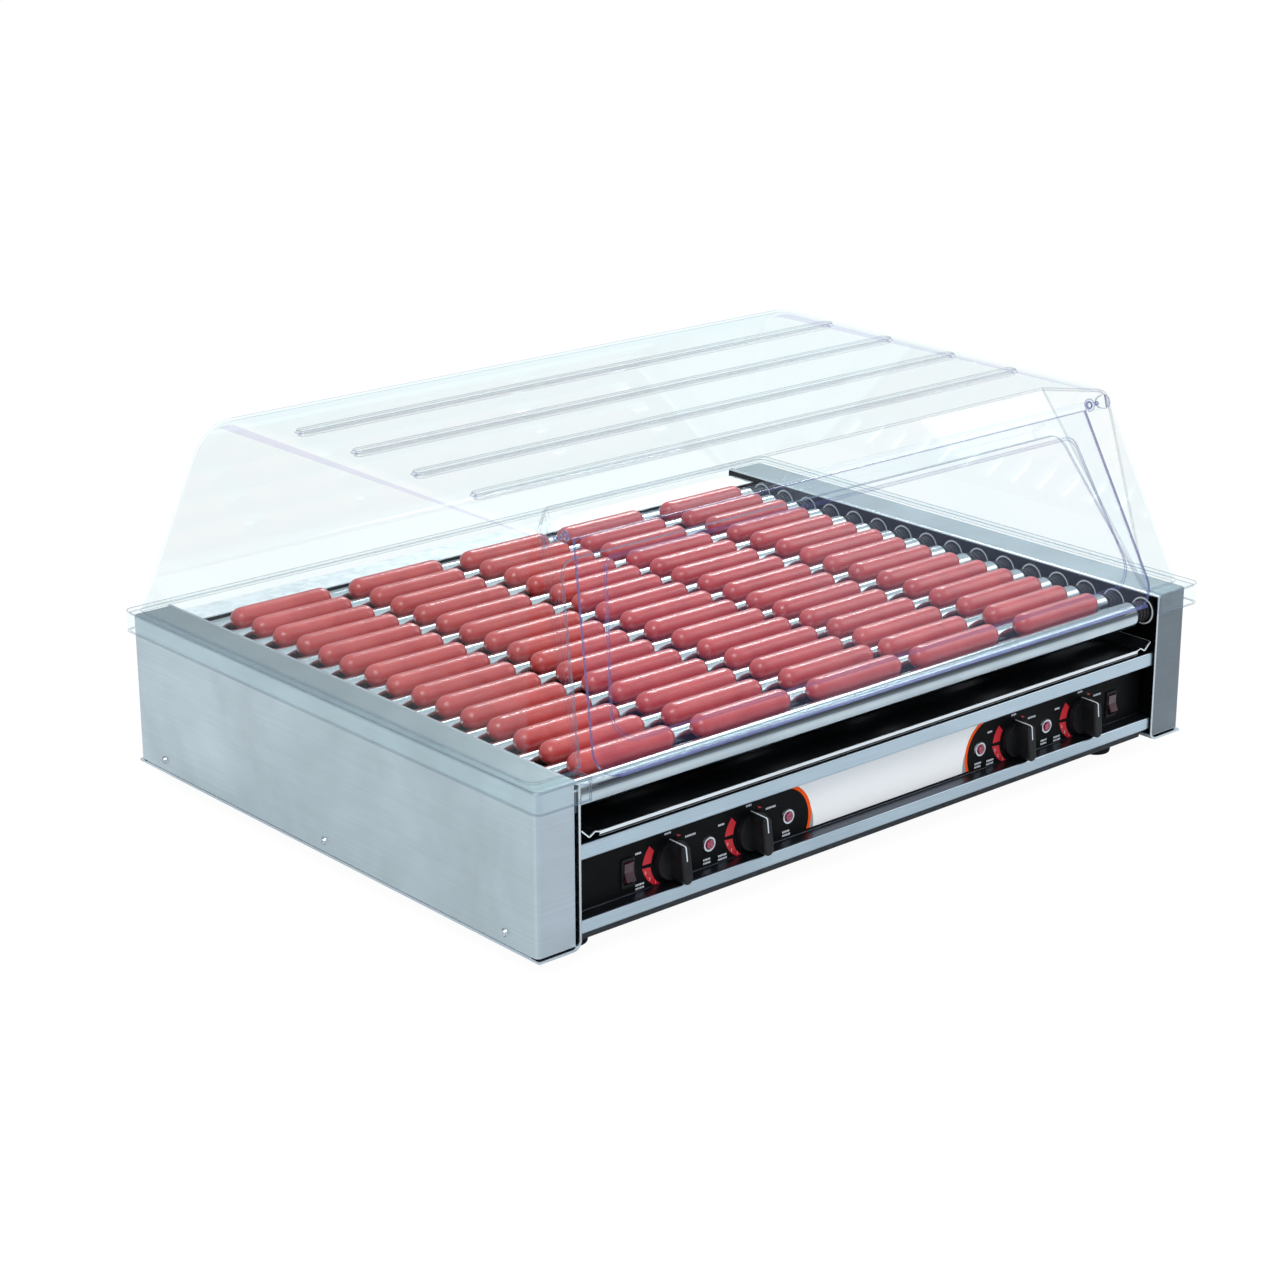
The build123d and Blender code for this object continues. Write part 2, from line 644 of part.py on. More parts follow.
SHAFT_START = BAY_X - 28.0
SHAFT_END = SPROCKET_X + 8.0
HUB_R = 9.0
HUB_LENGTH = 5.0
for name, y in zip(("front_drive_sprocket", "rear_drive_sprocket"), drive_y):
    with BuildPart() as drive:
        with BuildSketch(Plane.YZ.offset(SHAFT_START)):
            with Locations((y, DRIVE_Z)):
                Circle(DRIVE_SHAFT_R)
        extrude(amount=SHAFT_END - SHAFT_START)
        with BuildSketch(Plane.YZ.offset(SPROCKET_X)):
            with Locations((y, DRIVE_Z)):
                add(drive_sprocket)
        extrude(amount=SPROCKET_WIDTH)
        with BuildSketch(Plane.YZ.offset(SPROCKET_X - HUB_LENGTH)):
            with Locations((y, DRIVE_Z)):
                Circle(HUB_R)
        extrude(amount=HUB_LENGTH)
    finish(drive, name)

# Chains: closed loops over one group of rollers and round its drive sprocket.
# Side plates straddle the teeth, and the links are a band just outside the tooth tips.
LINK_PLATE = 1.0
LINK_SIDE_GAP = 0.4
TIP_GAP = 0.3
BAND = 1.2


def loop_area(first_y, last_y, motor_y, grow):
    """Area inside a loop that lies grow outside the pitch circles."""
    with BuildSketch() as area:
        with Locations((first_y, AXIS_Z), (last_y, AXIS_Z)):
            Circle(pitch_radius(ROLLER_TEETH) + grow)
        with Locations((motor_y, DRIVE_Z)):
            Circle(pitch_radius(DRIVE_TEETH) + grow)
        make_hull()
    return area.sketch


BAND_INNER = TOOTH_TIP + TIP_GAP
BAND_OUTER = BAND_INNER + BAND
PLATE_INNER = -1.2
with BuildPart() as drive_chains:
    for group, motor_y in enumerate(drive_y):
        ends = (roller_y[group * GROUP], roller_y[group * GROUP + GROUP - 1], motor_y)
        outer = loop_area(*ends, BAND_OUTER)
        left_plate_x = SPROCKET_X - LINK_SIDE_GAP - LINK_PLATE
        right_plate_x = SPROCKET_X + SPROCKET_WIDTH + LINK_SIDE_GAP
        for plate_x in (left_plate_x, right_plate_x):
            with BuildSketch(Plane.YZ.offset(plate_x)):
                add(outer)
                add(loop_area(*ends, PLATE_INNER), mode=Mode.SUBTRACT)
            extrude(amount=LINK_PLATE)
        with BuildSketch(Plane.YZ.offset(left_plate_x)):
            add(outer)
            add(loop_area(*ends, BAND_INNER), mode=Mode.SUBTRACT)
        extrude(amount=right_plate_x + LINK_PLATE - left_plate_x)
finish(drive_chains, "drive_chains")

# ---------------------------------------------------------------- drip tray

TRAY_FLOOR = 127.0
TRAY_FRONT = -333.5
TRAY_REAR = 300.0
TRAY_LIP = 4.4
TRAY_LIP_DROP = 2.8           # from the floor line down to the middle of the front lip
TRAY_DAM = 6.0
TRAY_DAM_RISE = 2.5
TRAY_BEND = 1.5
TRAY_SIDE = [(376.0, TRAY_FLOOR), (381.0, 128.6), (388.0, 124.5), (397.0, 133.0)]
tray_line = [(-x, z) for x, z in reversed(TRAY_SIDE)] + TRAY_SIDE
with BuildPart() as drip_tray:
    with BuildSketch(Plane.XZ.offset(-TRAY_FRONT)):
        add(sheet_profile(tray_line, TRAY_BEND, SHEET, Side.RIGHT))
    extrude(amount=TRAY_FRONT - TRAY_REAR)
    with Locations((0, TRAY_FRONT + SHEET / 2, TRAY_FLOOR - TRAY_LIP_DROP)):
        Box(2 * TRAY_SIDE[0][0], SHEET, TRAY_LIP)
    with Locations((0, TRAY_REAR - SHEET / 2, TRAY_FLOOR + TRAY_DAM_RISE)):
        Box(2 * TRAY_SIDE[0][0], SHEET, TRAY_DAM)
finish(drip_tray, "drip_tray")

# ---------------------------------------------------------------- sausages

SAUSAGE_BLUNT = 0.4           # radius of the flat at each end

# One sausage lies in each groove between two rollers, five along the groove
with BuildPart() as sausage:
    with BuildSketch(Plane.XZ) as half_section:
        Rectangle(SAUSAGE_LENGTH, SAUSAGE_R, align=(Align.MIN, Align.MIN))
        fillet(half_section.vertices().group_by(Axis.Y)[-1], radius=SAUSAGE_R - SAUSAGE_BLUNT)
    revolve(axis=Axis.X)

for number in range(1, ROLLERS):
    row_y = (roller_y[number - 1] + roller_y[number]) / 2
    with BuildPart() as row:
        with Locations(*[(tip, row_y, sausage_z) for tip in SAUSAGE_LEFT_TIPS]):
            add(sausage.part)
    finish(row, f"hot_dogs_{number:02d}")

# ---------------------------------------------------------------- power cord

CORD_R = 4.0
CORD_BACK = 366.0
CORD_REST_Z = 13.0
CORD_BEND = 18.0
GLAND_Y = PAN_REAR + SHEET
GLAND_COLLAR = 6.0
GLAND_FLARE = 3.0
BOOT = 10.0
BOOT_TAPER = 14.0
CORD_START = GLAND_Y + 8.0
PLUG_X = -40.0
PLUG_OVER = 4.0               # how far the plug reaches over the cord
PLUG_SIDE = 24.0
PLUG_CORNER = 8.0
PLUG_LENGTH = 38.0
PLUG_TAPER = 4.0
BLADE = (6.3, 1.6)
BLADE_APART = 6.3
BLADE_LENGTH = 18.0
EARTH_R = 2.4
EARTH_OFFSET = 6.0
BLADE_ROOT = 1.0              # blades start this far inside the plug's face
with BuildPart() as power_cord:
    gland = Plane((CORD_X, GLAND_Y - GLAND_COLLAR, CORD_Z), z_dir=(0, 1, 0))
    with BuildSketch(gland):
        Circle(CORD_GLAND_R - RUNNING)
    extrude(amount=GLAND_COLLAR)
    with BuildSketch(gland.offset(GLAND_COLLAR)):
        Circle(CORD_GLAND_R + GLAND_FLARE)
    extrude(amount=BOOT, taper=BOOT_TAPER)
    with BuildLine() as cord_path:
        FilletPolyline(
            (CORD_X, CORD_START, CORD_Z),
            (CORD_X, CORD_BACK, CORD_Z),
            (CORD_X, CORD_BACK, CORD_REST_Z),
            (PLUG_X, CORD_BACK, CORD_REST_Z),
            radius=CORD_BEND,
        )
    with BuildSketch(Plane(cord_path.line @ 0, z_dir=cord_path.line % 0)):
        Circle(CORD_R)
    sweep(path=cord_path.line)
    plug = Plane((PLUG_X + PLUG_OVER, CORD_BACK, CORD_REST_Z), z_dir=(-1, 0, 0))
    with BuildSketch(plug):
        RectangleRounded(PLUG_SIDE, PLUG_SIDE, PLUG_CORNER)
    extrude(amount=PLUG_LENGTH, taper=PLUG_TAPER)
    with BuildSketch(plug.offset(PLUG_LENGTH - BLADE_ROOT)):
        with Locations((0, BLADE_APART), (0, -BLADE_APART)):
            Rectangle(*BLADE)
        with Locations((EARTH_OFFSET, 0)):
            Circle(EARTH_R)
    extrude(amount=BLADE_LENGTH)
finish(power_cord, "power_cord")

# ---------------------------------------------------------------- guard

HOOD_LOW = 150.0              # the drafted walls are drawn down to here, then cut at the flange
HOOD_RISE = HOOD_TOP - (GUARD_BASE + WALL)
HOOD_EDGE_R = 12.0
HOOD_SPARE = 20.0             # the side section is drawn this far above the top
FRONT_SLOPE = (HOOD_FRONT_TOP - HOOD_FRONT_BASE) / (HOOD_TOP_FRONT - GUARD_BASE - WALL)
REAR_SLOPE = (HOOD_REAR_TOP - HOOD_REAR_BASE) / (HOOD_TOP_REAR - GUARD_BASE - WALL)
SIDE_SLOPE = (HOOD_TOP_X - HOOD_BASE_X) / HOOD_RISE


def hood_block(inset):
    """The hood's drafted block with its large rear bend, every face moved in by inset."""
    with BuildPart() as block:
        with BuildSketch(Plane.YZ) as side:
            Polygon(
                (HOOD_FRONT_TOP - FRONT_SLOPE * (HOOD_TOP_FRONT - HOOD_LOW), HOOD_LOW),
                (HOOD_REAR_TOP - REAR_SLOPE * (HOOD_TOP_REAR - HOOD_LOW), HOOD_LOW),
                (HOOD_REAR_TOP, HOOD_TOP_REAR),
                (HOOD_FRONT_TOP, HOOD_TOP_FRONT),
                align=None,
            )
            fillet(side.vertices().sort_by(Axis.Y)[-1], radius=HOOD_BEND)
            if inset:
                offset(amount=-inset)
        extrude(amount=WIDTH, both=True)
        with BuildSketch(Plane.XZ) as front:
            Polygon(
                (-HOOD_TOP_X + SIDE_SLOPE * (HOOD_TOP - HOOD_LOW), HOOD_LOW),
                (HOOD_TOP_X - SIDE_SLOPE * (HOOD_TOP - HOOD_LOW), HOOD_LOW),
                (HOOD_TOP_X + SIDE_SLOPE * HOOD_SPARE, HOOD_TOP + HOOD_SPARE),
                (-HOOD_TOP_X - SIDE_SLOPE * HOOD_SPARE, HOOD_TOP + HOOD_SPARE),
                align=None,
            )
            if inset:
                offset(amount=-inset)
        extrude(amount=DEPTH, both=True, mode=Mode.INTERSECT)
        side_edges = block.edges().filter_by(lambda e: abs(e.center().X) > 300)
        upper_edges = side_edges.filter_by(lambda e: e.center().Z > HOOD_LOW + 10)
        top_edges = block.edges().filter_by(Axis.X).filter_by(lambda e: e.center().Z > HOOD_TOP - 20)
        front_edge = top_edges.sort_by(Axis.Y)[0]
        fillet(upper_edges + [front_edge], radius=HOOD_EDGE_R - inset)
    return block.part


# The front recess has 45 degree ends, is deepest at the top and runs out at the flange
RECESS_BACK = -209.5
RECESS_X_TOP = 338.0
RECESS_X_BASE = 395.0
RECESS_REACH = 90.0
BACK_SHIFT = 1.12             # horizontal shift of the leaning back face per unit of inset
END_SHIFT = 0.34


def recess_corners(z, inset):
    """Plan of the recess at height z, every face moved back into the hood by inset."""
    drop = (HOOD_TOP - z) / HOOD_RISE
    back = RECESS_BACK + (HOOD_FRONT_BASE - RECESS_BACK) * drop + BACK_SHIFT * inset
    half = RECESS_X_TOP + (RECESS_X_BASE - RECESS_X_TOP) * drop + END_SHIFT * inset
    reach = RECESS_REACH
    return [(-half - reach, back - reach), (half + reach, back - reach), (half, back), (-half, back)]


def recess_wedge(inset):
    with BuildPart() as wedge:
        for z in (HOOD_LOW - HOOD_SPARE, HOOD_TOP + HOOD_SPARE):
            with BuildSketch(Plane.XY.offset(z)):
                Polygon(*recess_corners(z, inset), align=None)
        loft(ruled=True)
    return wedge.part


hood_outer = hood_block(0) - recess_wedge(0)
hood_inner = hood_block(WALL) - recess_wedge(WALL)
HEADER_BOTTOM = 350.0
OPENING_TOP_X = 342.0
OPENING_BASE_X = 394.0
BOSS_R = 7.0
BOSS_START = 358.6
BOSS_END = 384.0
RIB_Y = (141.0, 46.0, -51.0, -142.0)
RIB_HALF = 372.0
RIB_WIDTH = 17.0
RIB_HEIGHT = 3.0
RIB_TAPER = 25.0
SKIRT_CORNER = 10.0
OPENING_CORNER = 20.0
FRONT_CUT = 60.0
OPENING_SPARE = 3.0           # the skirt is cut this much wider than the opening
top_rise = HOOD_TOP_REAR - HOOD_TOP_FRONT
top_run = HOOD_REAR_TOP - HOOD_FRONT_TOP
top_plane = Plane((0, HOOD_FRONT_TOP, HOOD_TOP_FRONT), x_dir=(1, 0, 0), z_dir=(0, -top_rise, top_run))
skirt_mid_y = (SKIRT_FRONT + SKIRT_REAR) / 2
skirt_length = SKIRT_REAR - SKIRT_FRONT

with BuildPart() as guard_hood:
    add(hood_outer)
    with BuildSketch(Plane.XY.offset(GUARD_BASE)):
        Rectangle(2 * WIDTH, 2 * DEPTH)
    extrude(amount=HOOD_LOW - GUARD_BASE, mode=Mode.SUBTRACT)
    with BuildSketch(Plane.XY.offset(GUARD_BASE)):
        with Locations((0, skirt_mid_y)):
            RectangleRounded(2 * SKIRT_X, skirt_length, SKIRT_CORNER)
    extrude(amount=WALL)
    with BuildSketch(Plane.XY.offset(GUARD_BASE)):
        with Locations((0, skirt_mid_y)):
            RectangleRounded(2 * SKIRT_X, skirt_length, SKIRT_CORNER)
            inner_size = (2 * (SKIRT_X - WALL), skirt_length - 2 * WALL)
            RectangleRounded(*inner_size, SKIRT_CORNER - WALL, mode=Mode.SUBTRACT)
    extrude(amount=-SKIRT_HEIGHT)
    with BuildSketch(top_plane):
        for rib_y in RIB_Y:
            with Locations((0, rib_y - HOOD_FRONT_TOP)):
                SlotOverall(2 * RIB_HALF, RIB_WIDTH)
    extrude(amount=RIB_HEIGHT, taper=RIB_TAPER)
    for side in (-1, 1):
        with BuildSketch(Plane.YZ.offset(side * BOSS_START)):
            with Locations((ROD_Y, ROD_Z)):
                Circle(BOSS_R)
        extrude(amount=side * (BOSS_END - BOSS_START))
    add(hood_inner, mode=Mode.SUBTRACT)
    with BuildSketch(top_plane.offset(-WALL)):
        for rib_y in RIB_Y:
            with Locations((0, rib_y - HOOD_FRONT_TOP)):
                SlotOverall(2 * (RIB_HALF - WALL), RIB_WIDTH - 2 * WALL)
    extrude(amount=RIB_HEIGHT, taper=RIB_TAPER, mode=Mode.SUBTRACT)
    with BuildSketch(Plane.XZ) as opening:
        Polygon(
            (-OPENING_BASE_X, GUARD_BASE - 1),
            (OPENING_BASE_X, GUARD_BASE - 1),
            (OPENING_TOP_X, HEADER_BOTTOM),
            (-OPENING_TOP_X, HEADER_BOTTOM),
            align=None,
        )
        fillet(opening.vertices().group_by(Axis.Y)[-1], radius=OPENING_CORNER)
    extrude(amount=CUT - SKIRT_FRONT, mode=Mode.SUBTRACT)
    with Locations((0, SKIRT_FRONT, GUARD_BASE - SKIRT_HEIGHT / 2)):
        Box(2 * (OPENING_BASE_X + OPENING_SPARE), FRONT_CUT, SKIRT_HEIGHT + 3 * WALL, mode=Mode.SUBTRACT)
    for side in (-1, 1):
        with BuildSketch(Plane.YZ.offset(side * (BOSS_START - 1))):
            with Locations((ROD_Y, ROD_Z)):
                Circle(PIN_R + RUNNING)
        extrude(amount=side * (PIN_END - BOSS_START + 2), mode=Mode.SUBTRACT)
finish(guard_hood, "guard_hood", GUARD_X)

# Door: a flat clear plate hanging from its rod, leaning out over the front roller
DOOR_FOOT_Y = -335.5
DOOR_FOOT_Z = 184.0
DOOR_TOP_X = 349.0
DOOR_BASE_X = 391.0
DOOR_CORNER = 25.0
DOOR_LIP = 8.0
BORDER = 27.0
GROOVE_WIDTH = 2.2
GROOVE_DEPTH = 0.8
BORDER_CORNER = 15.0
door_length = hypot(ROD_Y - DOOR_FOOT_Y, ROD_Z - DOOR_FOOT_Z)
door_tilt = atan2(ROD_Y - DOOR_FOOT_Y, ROD_Z - DOOR_FOOT_Z)
door_plane = Plane(
    (0, ROD_Y, ROD_Z), x_dir=(1, 0, 0), z_dir=(0, -cos(door_tilt), sin(door_tilt))
)


def door_outline(inset):
    """Tapered outline with round lower corners, drawn from the rod downwards."""
    with BuildSketch() as outline:
        Polygon(
            (-DOOR_BASE_X + inset, -door_length - DOOR_LIP + inset),
            (DOOR_BASE_X - inset, -door_length - DOOR_LIP + inset),
            (DOOR_TOP_X - inset, -inset),
            (-DOOR_TOP_X + inset, -inset),
            align=None,
        )
        fillet(outline.vertices().group_by(Axis.Y)[0], radius=DOOR_CORNER)
        if inset:
            fillet(outline.vertices().group_by(Axis.Y)[-1], radius=BORDER_CORNER)
    return outline.sketch


with BuildPart() as guard_door:
    with BuildSketch(door_plane):
        add(door_outline(0))
    extrude(amount=WALL / 2, both=True)
    with BuildSketch(door_plane.offset(WALL / 2)):
        add(door_outline(BORDER))
        add(door_outline(BORDER + GROOVE_WIDTH), mode=Mode.SUBTRACT)
    extrude(amount=-GROOVE_DEPTH, mode=Mode.SUBTRACT)
    with BuildSketch(door_plane.offset(WALL / 2)):
        with Locations((0, -door_length - DOOR_LIP + WALL / 2)):
            Rectangle(2 * (DOOR_BASE_X - DOOR_CORNER), WALL)
    extrude(amount=DOOR_LIP)
    with Locations((0, ROD_Y, ROD_Z)):
        Cylinder(ROD_R, 2 * ROD_HALF, rotation=(0, 90, 0))
        Cylinder(PIN_R, 2 * PIN_END, rotation=(0, 90, 0))
finish(guard_door, "guard_door", GUARD_X)
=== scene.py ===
import math
import random

import bmesh
import bpy
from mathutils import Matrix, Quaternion, Vector, noise


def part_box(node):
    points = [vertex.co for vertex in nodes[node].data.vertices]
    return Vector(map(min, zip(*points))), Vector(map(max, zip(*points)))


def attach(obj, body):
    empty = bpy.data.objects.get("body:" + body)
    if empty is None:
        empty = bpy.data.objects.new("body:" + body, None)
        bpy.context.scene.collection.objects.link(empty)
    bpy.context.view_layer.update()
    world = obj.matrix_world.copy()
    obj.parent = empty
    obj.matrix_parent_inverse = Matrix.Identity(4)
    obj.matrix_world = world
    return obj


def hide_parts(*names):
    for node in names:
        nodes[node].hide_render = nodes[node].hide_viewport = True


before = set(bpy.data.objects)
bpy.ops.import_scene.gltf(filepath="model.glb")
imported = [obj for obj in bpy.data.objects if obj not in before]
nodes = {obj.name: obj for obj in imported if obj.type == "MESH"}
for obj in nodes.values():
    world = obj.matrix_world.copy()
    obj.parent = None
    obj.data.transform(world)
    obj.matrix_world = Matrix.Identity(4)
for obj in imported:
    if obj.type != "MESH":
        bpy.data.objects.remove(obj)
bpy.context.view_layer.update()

MM = 0.001
random.seed(7)

# Middle of the housing on the counter; fixed places below are measured from it
housing_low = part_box("left_end_cover")[0]
housing_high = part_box("right_end_cover")[1]
MIDDLE = Vector(((housing_low.x + housing_high.x) / 2, (housing_low.y + housing_high.y) / 2, 0))


# ---------------------------------------------------------------- node graphs


class Graph:
    """A material's node tree, with short calls that add nodes and link them."""

    def __init__(self, name):
        self.material = bpy.data.materials.new(name)
        self.material.use_nodes = True
        self.tree = self.material.node_tree
        self.tree.nodes.clear()
        self.output = self.tree.nodes.new("ShaderNodeOutputMaterial")

    def add(self, kind, inputs=None, **settings):
        node = self.tree.nodes.new(kind)
        for key, value in settings.items():
            setattr(node, key, value)
        for key, value in (inputs or {}).items():
            if isinstance(value, bpy.types.NodeSocket):
                self.tree.links.new(value, node.inputs[key])
            else:
                node.inputs[key].default_value = value
        return node

    def place(self, kind="Object"):
        return self.add("ShaderNodeTexCoord").outputs[kind]

    def scaled(self, vector, scale):
        node = self.add("ShaderNodeVectorMath", {0: vector, 1: scale}, operation="MULTIPLY")
        return node.outputs[0]

    def noise(self, vector, scale, detail=3.0, rough=0.5, distort=0.0):
        inputs = {"Vector": vector, "Scale": scale, "Detail": detail, "Roughness": rough}
        inputs["Distortion"] = distort
        return self.add("ShaderNodeTexNoise", inputs).outputs[0]

    def math(self, operation, a, b=0.5, c=0.5, clamp=False):
        node = self.add("ShaderNodeMath", {0: a, 1: b, 2: c}, operation=operation, use_clamp=clamp)
        return node.outputs[0]

    def fit(self, value, low, high, to_low=0.0, to_high=1.0):
        inputs = {0: value, 1: low, 2: high, 3: to_low, 4: to_high}
        return self.add("ShaderNodeMapRange", inputs, clamp=True).outputs[0]

    def ramp(self, value, *stops):
        """Grey value that follows the (position, level) stops."""
        node = self.add("ShaderNodeValToRGB", {0: value})
        elements = node.color_ramp.elements
        while len(elements) < len(stops):
            elements.new(0.5)
        for element, (position, level) in zip(elements, stops):
            element.position = position
            element.color = (level, level, level, 1)
        return node.outputs[0]

    def mix(self, factor, a, b, blend="MIX"):
        inputs = {0: factor, 6: a, 7: b}
        return self.add("ShaderNodeMix", inputs, data_type="RGBA", blend_type=blend).outputs[2]

    def split(self, vector):
        return self.add("ShaderNodeSeparateXYZ", {0: vector}).outputs

    def bump(self, height, distance, strength=1.0, normal=None):
        inputs = {"Height": height, "Distance": distance, "Strength": strength}
        if normal is not None:
            inputs["Normal"] = normal
        return self.add("ShaderNodeBump", inputs).outputs[0]

    def edges(self, radius):
        """Mask that is 1 on sharp edges within radius, from the difference a bevel would make."""
        bevel = self.add("ShaderNodeBevel", {"Radius": radius}, samples=4).outputs[0]
        normal = self.add("ShaderNodeNewGeometry").outputs["Normal"]
        dot = self.add("ShaderNodeVectorMath", {0: bevel, 1: normal}, operation="DOT_PRODUCT")
        return self.fit(dot.outputs["Value"], 0.995, 0.85)

    def surface(self, shader):
        self.tree.links.new(shader, self.output.inputs["Surface"])
        return self.material

    def principled(self, **inputs):
        named = {key.replace("_", " "): value for key, value in inputs.items()}
        return self.add("ShaderNodeBsdfPrincipled", named).outputs[0]


def rgb(red, green, blue):
    """Linear colour, with alpha, from display values 0 to 255."""
    levels = []
    for value in (red, green, blue):
        curved = ((value / 255 + 0.055) / 1.055) ** 2.4
        levels.append(curved if value > 10 else value / 3294.6)
    return tuple(levels) + (1.0,)


# ---------------------------------------------------------------- metals


def brushed_metal(name, colour, grain, rough=0.3, depth=0.00002, flat_grain=None, clouds=0.12, front=1.0):
    """Metal with fine lines; grain is how fast the lines vary along X, Y and Z, per metre.

    Faces that look up are painted a little darker as shade, and front sets how dark the painted shade is on
    the ones that face the operator; sharp edges get a painted highlight.
    """
    g = Graph(name)
    place = g.place()
    lines = g.noise(g.scaled(place, grain), 1.0, 4.0, 0.6)
    if flat_grain:
        top = g.noise(g.scaled(place, flat_grain), 1.0, 4.0, 0.6)
        up = g.math("ABSOLUTE", g.split(g.place("Normal"))["Z"])
        is_top = g.math("GREATER_THAN", up, 0.7)
        lines = g.mix(is_top, lines, top)
    cloud = g.noise(place, 7.0, 3.0, 0.6, 0.4)
    smudge = g.noise(place, 42.0, 4.0, 0.6)
    edge = g.edges(0.0012)
    dark = tuple(c * (1 - clouds) for c in colour[:3]) + (1,)
    light = tuple(min(1, c * (1 + clouds)) for c in colour[:3]) + (1,)
    tone = g.mix(g.fit(cloud, 0.3, 0.7), dark, light)
    tone = g.mix(g.fit(lines, 0.25, 0.75, 0.0, 0.35), tone, tuple(c * 0.72 for c in colour[:3]) + (1,))
    # Painted highlight: sharp edges are lightened
    tone = g.mix(g.math("MULTIPLY", edge, 0.6), tone, (0.85, 0.88, 0.9, 1))
    # Painted shade: faces that look up, and faces toward the operator, are darkened
    _, facing, upward = g.split(g.place("Normal"))
    painted_top_shade = g.mix(g.math("GREATER_THAN", upward, 0.7), (1, 1, 1, 1), (0.6, 0.61, 0.62, 1))
    tone = g.mix(1.0, tone, painted_top_shade, "MULTIPLY")
    painted_front_shade = g.mix(g.math("LESS_THAN", facing, -0.7), (1, 1, 1, 1), (front, front, front * 1.05, 1))
    tone = g.mix(1.0, tone, painted_front_shade, "MULTIPLY")
    line_roughness = g.fit(lines, 0.2, 0.8, rough - 0.07, rough + 0.09)
    roughness = g.math("ADD", line_roughness, g.fit(smudge, 0.45, 0.75, 0, 0.06))
    normal = g.bump(lines, depth, 0.6)
    return g.surface(g.principled(Base_Color=tone, Metallic=1.0, Roughness=roughness, Normal=normal))


def chrome_material():
    """Polished tube with faint turning marks, smudges and a grease haze, and light and dark reflection bands
    painted into its colour by which way each face looks.
    """
    g = Graph("roller_chrome")
    place = g.place()
    turning = g.noise(g.scaled(place, (900, 9, 9)), 1.0, 3.0, 0.6)
    haze = g.noise(place, 16.0, 4.0, 0.6, 0.5)
    fleck = g.noise(place, 260.0, 2.0, 0.5)
    tone = g.mix(g.fit(haze, 0.35, 0.7, 0, 0.5), rgb(214, 226, 232), rgb(184, 196, 204))
    tone = g.mix(g.fit(fleck, 0.68, 0.78, 0, 0.35), tone, rgb(140, 130, 122))
    upward = g.split(g.add("ShaderNodeNewGeometry").outputs["Normal"])[2]
    # Painted reflection: light and dark bands set by how far each face looks up
    painted_reflection_bands = g.ramp(upward, (0.0, 0.85), (0.22, 0.7), (0.42, 0.16), (0.6, 0.22), (0.74, 0.95), (1.0, 0.6))
    tone = g.mix(1.0, tone, painted_reflection_bands, "MULTIPLY")
    roughness = g.math("ADD", g.fit(haze, 0.35, 0.75, 0.07, 0.2), g.fit(turning, 0.3, 0.7, 0, 0.05))
    normal = g.bump(turning, 0.00001, 0.5)
    return g.surface(g.principled(Base_Color=tone, Metallic=1.0, Roughness=roughness, Normal=normal))


def rail_sheet():
    """Bent control channel: brushed rails with tops painted darker as shade and edges painted lighter as a
    highlight, and black paint behind the panel film.
    """
    g = Graph("brushed_rail")
    place = g.place()
    _, y, z = g.split(place)
    lines = g.noise(g.scaled(place, (10, 1100, 1100)), 1.0, 4.0, 0.6)
    cloud = g.noise(place, 7.0, 3.0, 0.6, 0.4)
    tone = g.mix(g.fit(cloud, 0.3, 0.7), rgb(186, 204, 214), rgb(200, 216, 226))
    tone = g.mix(g.fit(lines, 0.25, 0.75, 0.0, 0.35), tone, rgb(140, 152, 164))
    top = g.math("GREATER_THAN", g.split(g.place("Normal"))["Z"], 0.7)
    # Painted shade: faces that look up are darkened
    tone = g.mix(top, tone, rgb(92, 98, 108))
    # Painted highlight: sharp edges are lightened
    tone = g.mix(g.math("MULTIPLY", g.edges(0.0009), 0.7), tone, rgb(214, 224, 230))
    roughness = g.fit(lines, 0.2, 0.8, 0.26, 0.42)
    metal = g.principled(
        Base_Color=tone, Metallic=1.0, Roughness=roughness, Normal=g.bump(lines, 0.00002, 0.6)
    )
    recess = g.math("GREATER_THAN", y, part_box("control_overlay")[0].y - 0.5 * MM)
    recess = g.math("MULTIPLY", recess, g.math("GREATER_THAN", z, RAIL_STEP_Z))
    paint = g.mix(cloud, rgb(9, 9, 11), rgb(18, 18, 21))
    matt = g.principled(
        Base_Color=paint, Roughness=g.fit(lines, 0.3, 0.7, 0.5, 0.62), Specular_IOR_Level=0.08,
        Normal=g.bump(lines, 0.00001),
    )
    return g.surface(g.add("ShaderNodeMixShader", {0: recess, 1: metal, 2: matt}).outputs[0])


def dark_inside(name, bright, dark, masks):
    """Sheet that is bright outside and painted dark inside as shade, with sharp edges painted lighter as a
    highlight; masks builds the inside mask.
    """
    g = Graph(name)
    place = g.place()
    lines = g.noise(g.scaled(place, (8, 8, 700)), 1.0, 4.0, 0.6)
    cloud = g.noise(place, 9.0, 4.0, 0.6, 0.4)
    unshaded_tone = g.mix(g.fit(cloud, 0.3, 0.7), tuple(c * 0.88 for c in bright[:3]) + (1,), bright)
    painted_shade_tone = g.mix(g.fit(cloud, 0.3, 0.7), dark, tuple(c * 1.7 for c in dark[:3]) + (1,))
    inside = masks(g)
    # Painted shade: the inside mask darkens the sheet
    tone = g.mix(inside, unshaded_tone, painted_shade_tone)
    # Painted highlight: sharp edges are lightened
    tone = g.mix(g.math("MULTIPLY", g.edges(0.0008), 0.9), tone, rgb(232, 238, 242))
    roughness = g.math("ADD", g.fit(lines, 0.2, 0.8, 0.18, 0.32), g.math("MULTIPLY", inside, 0.2))
    return g.surface(
        g.principled(Base_Color=tone, Metallic=1.0, Roughness=roughness, Normal=g.bump(lines, 0.00002, 0.6))
    )


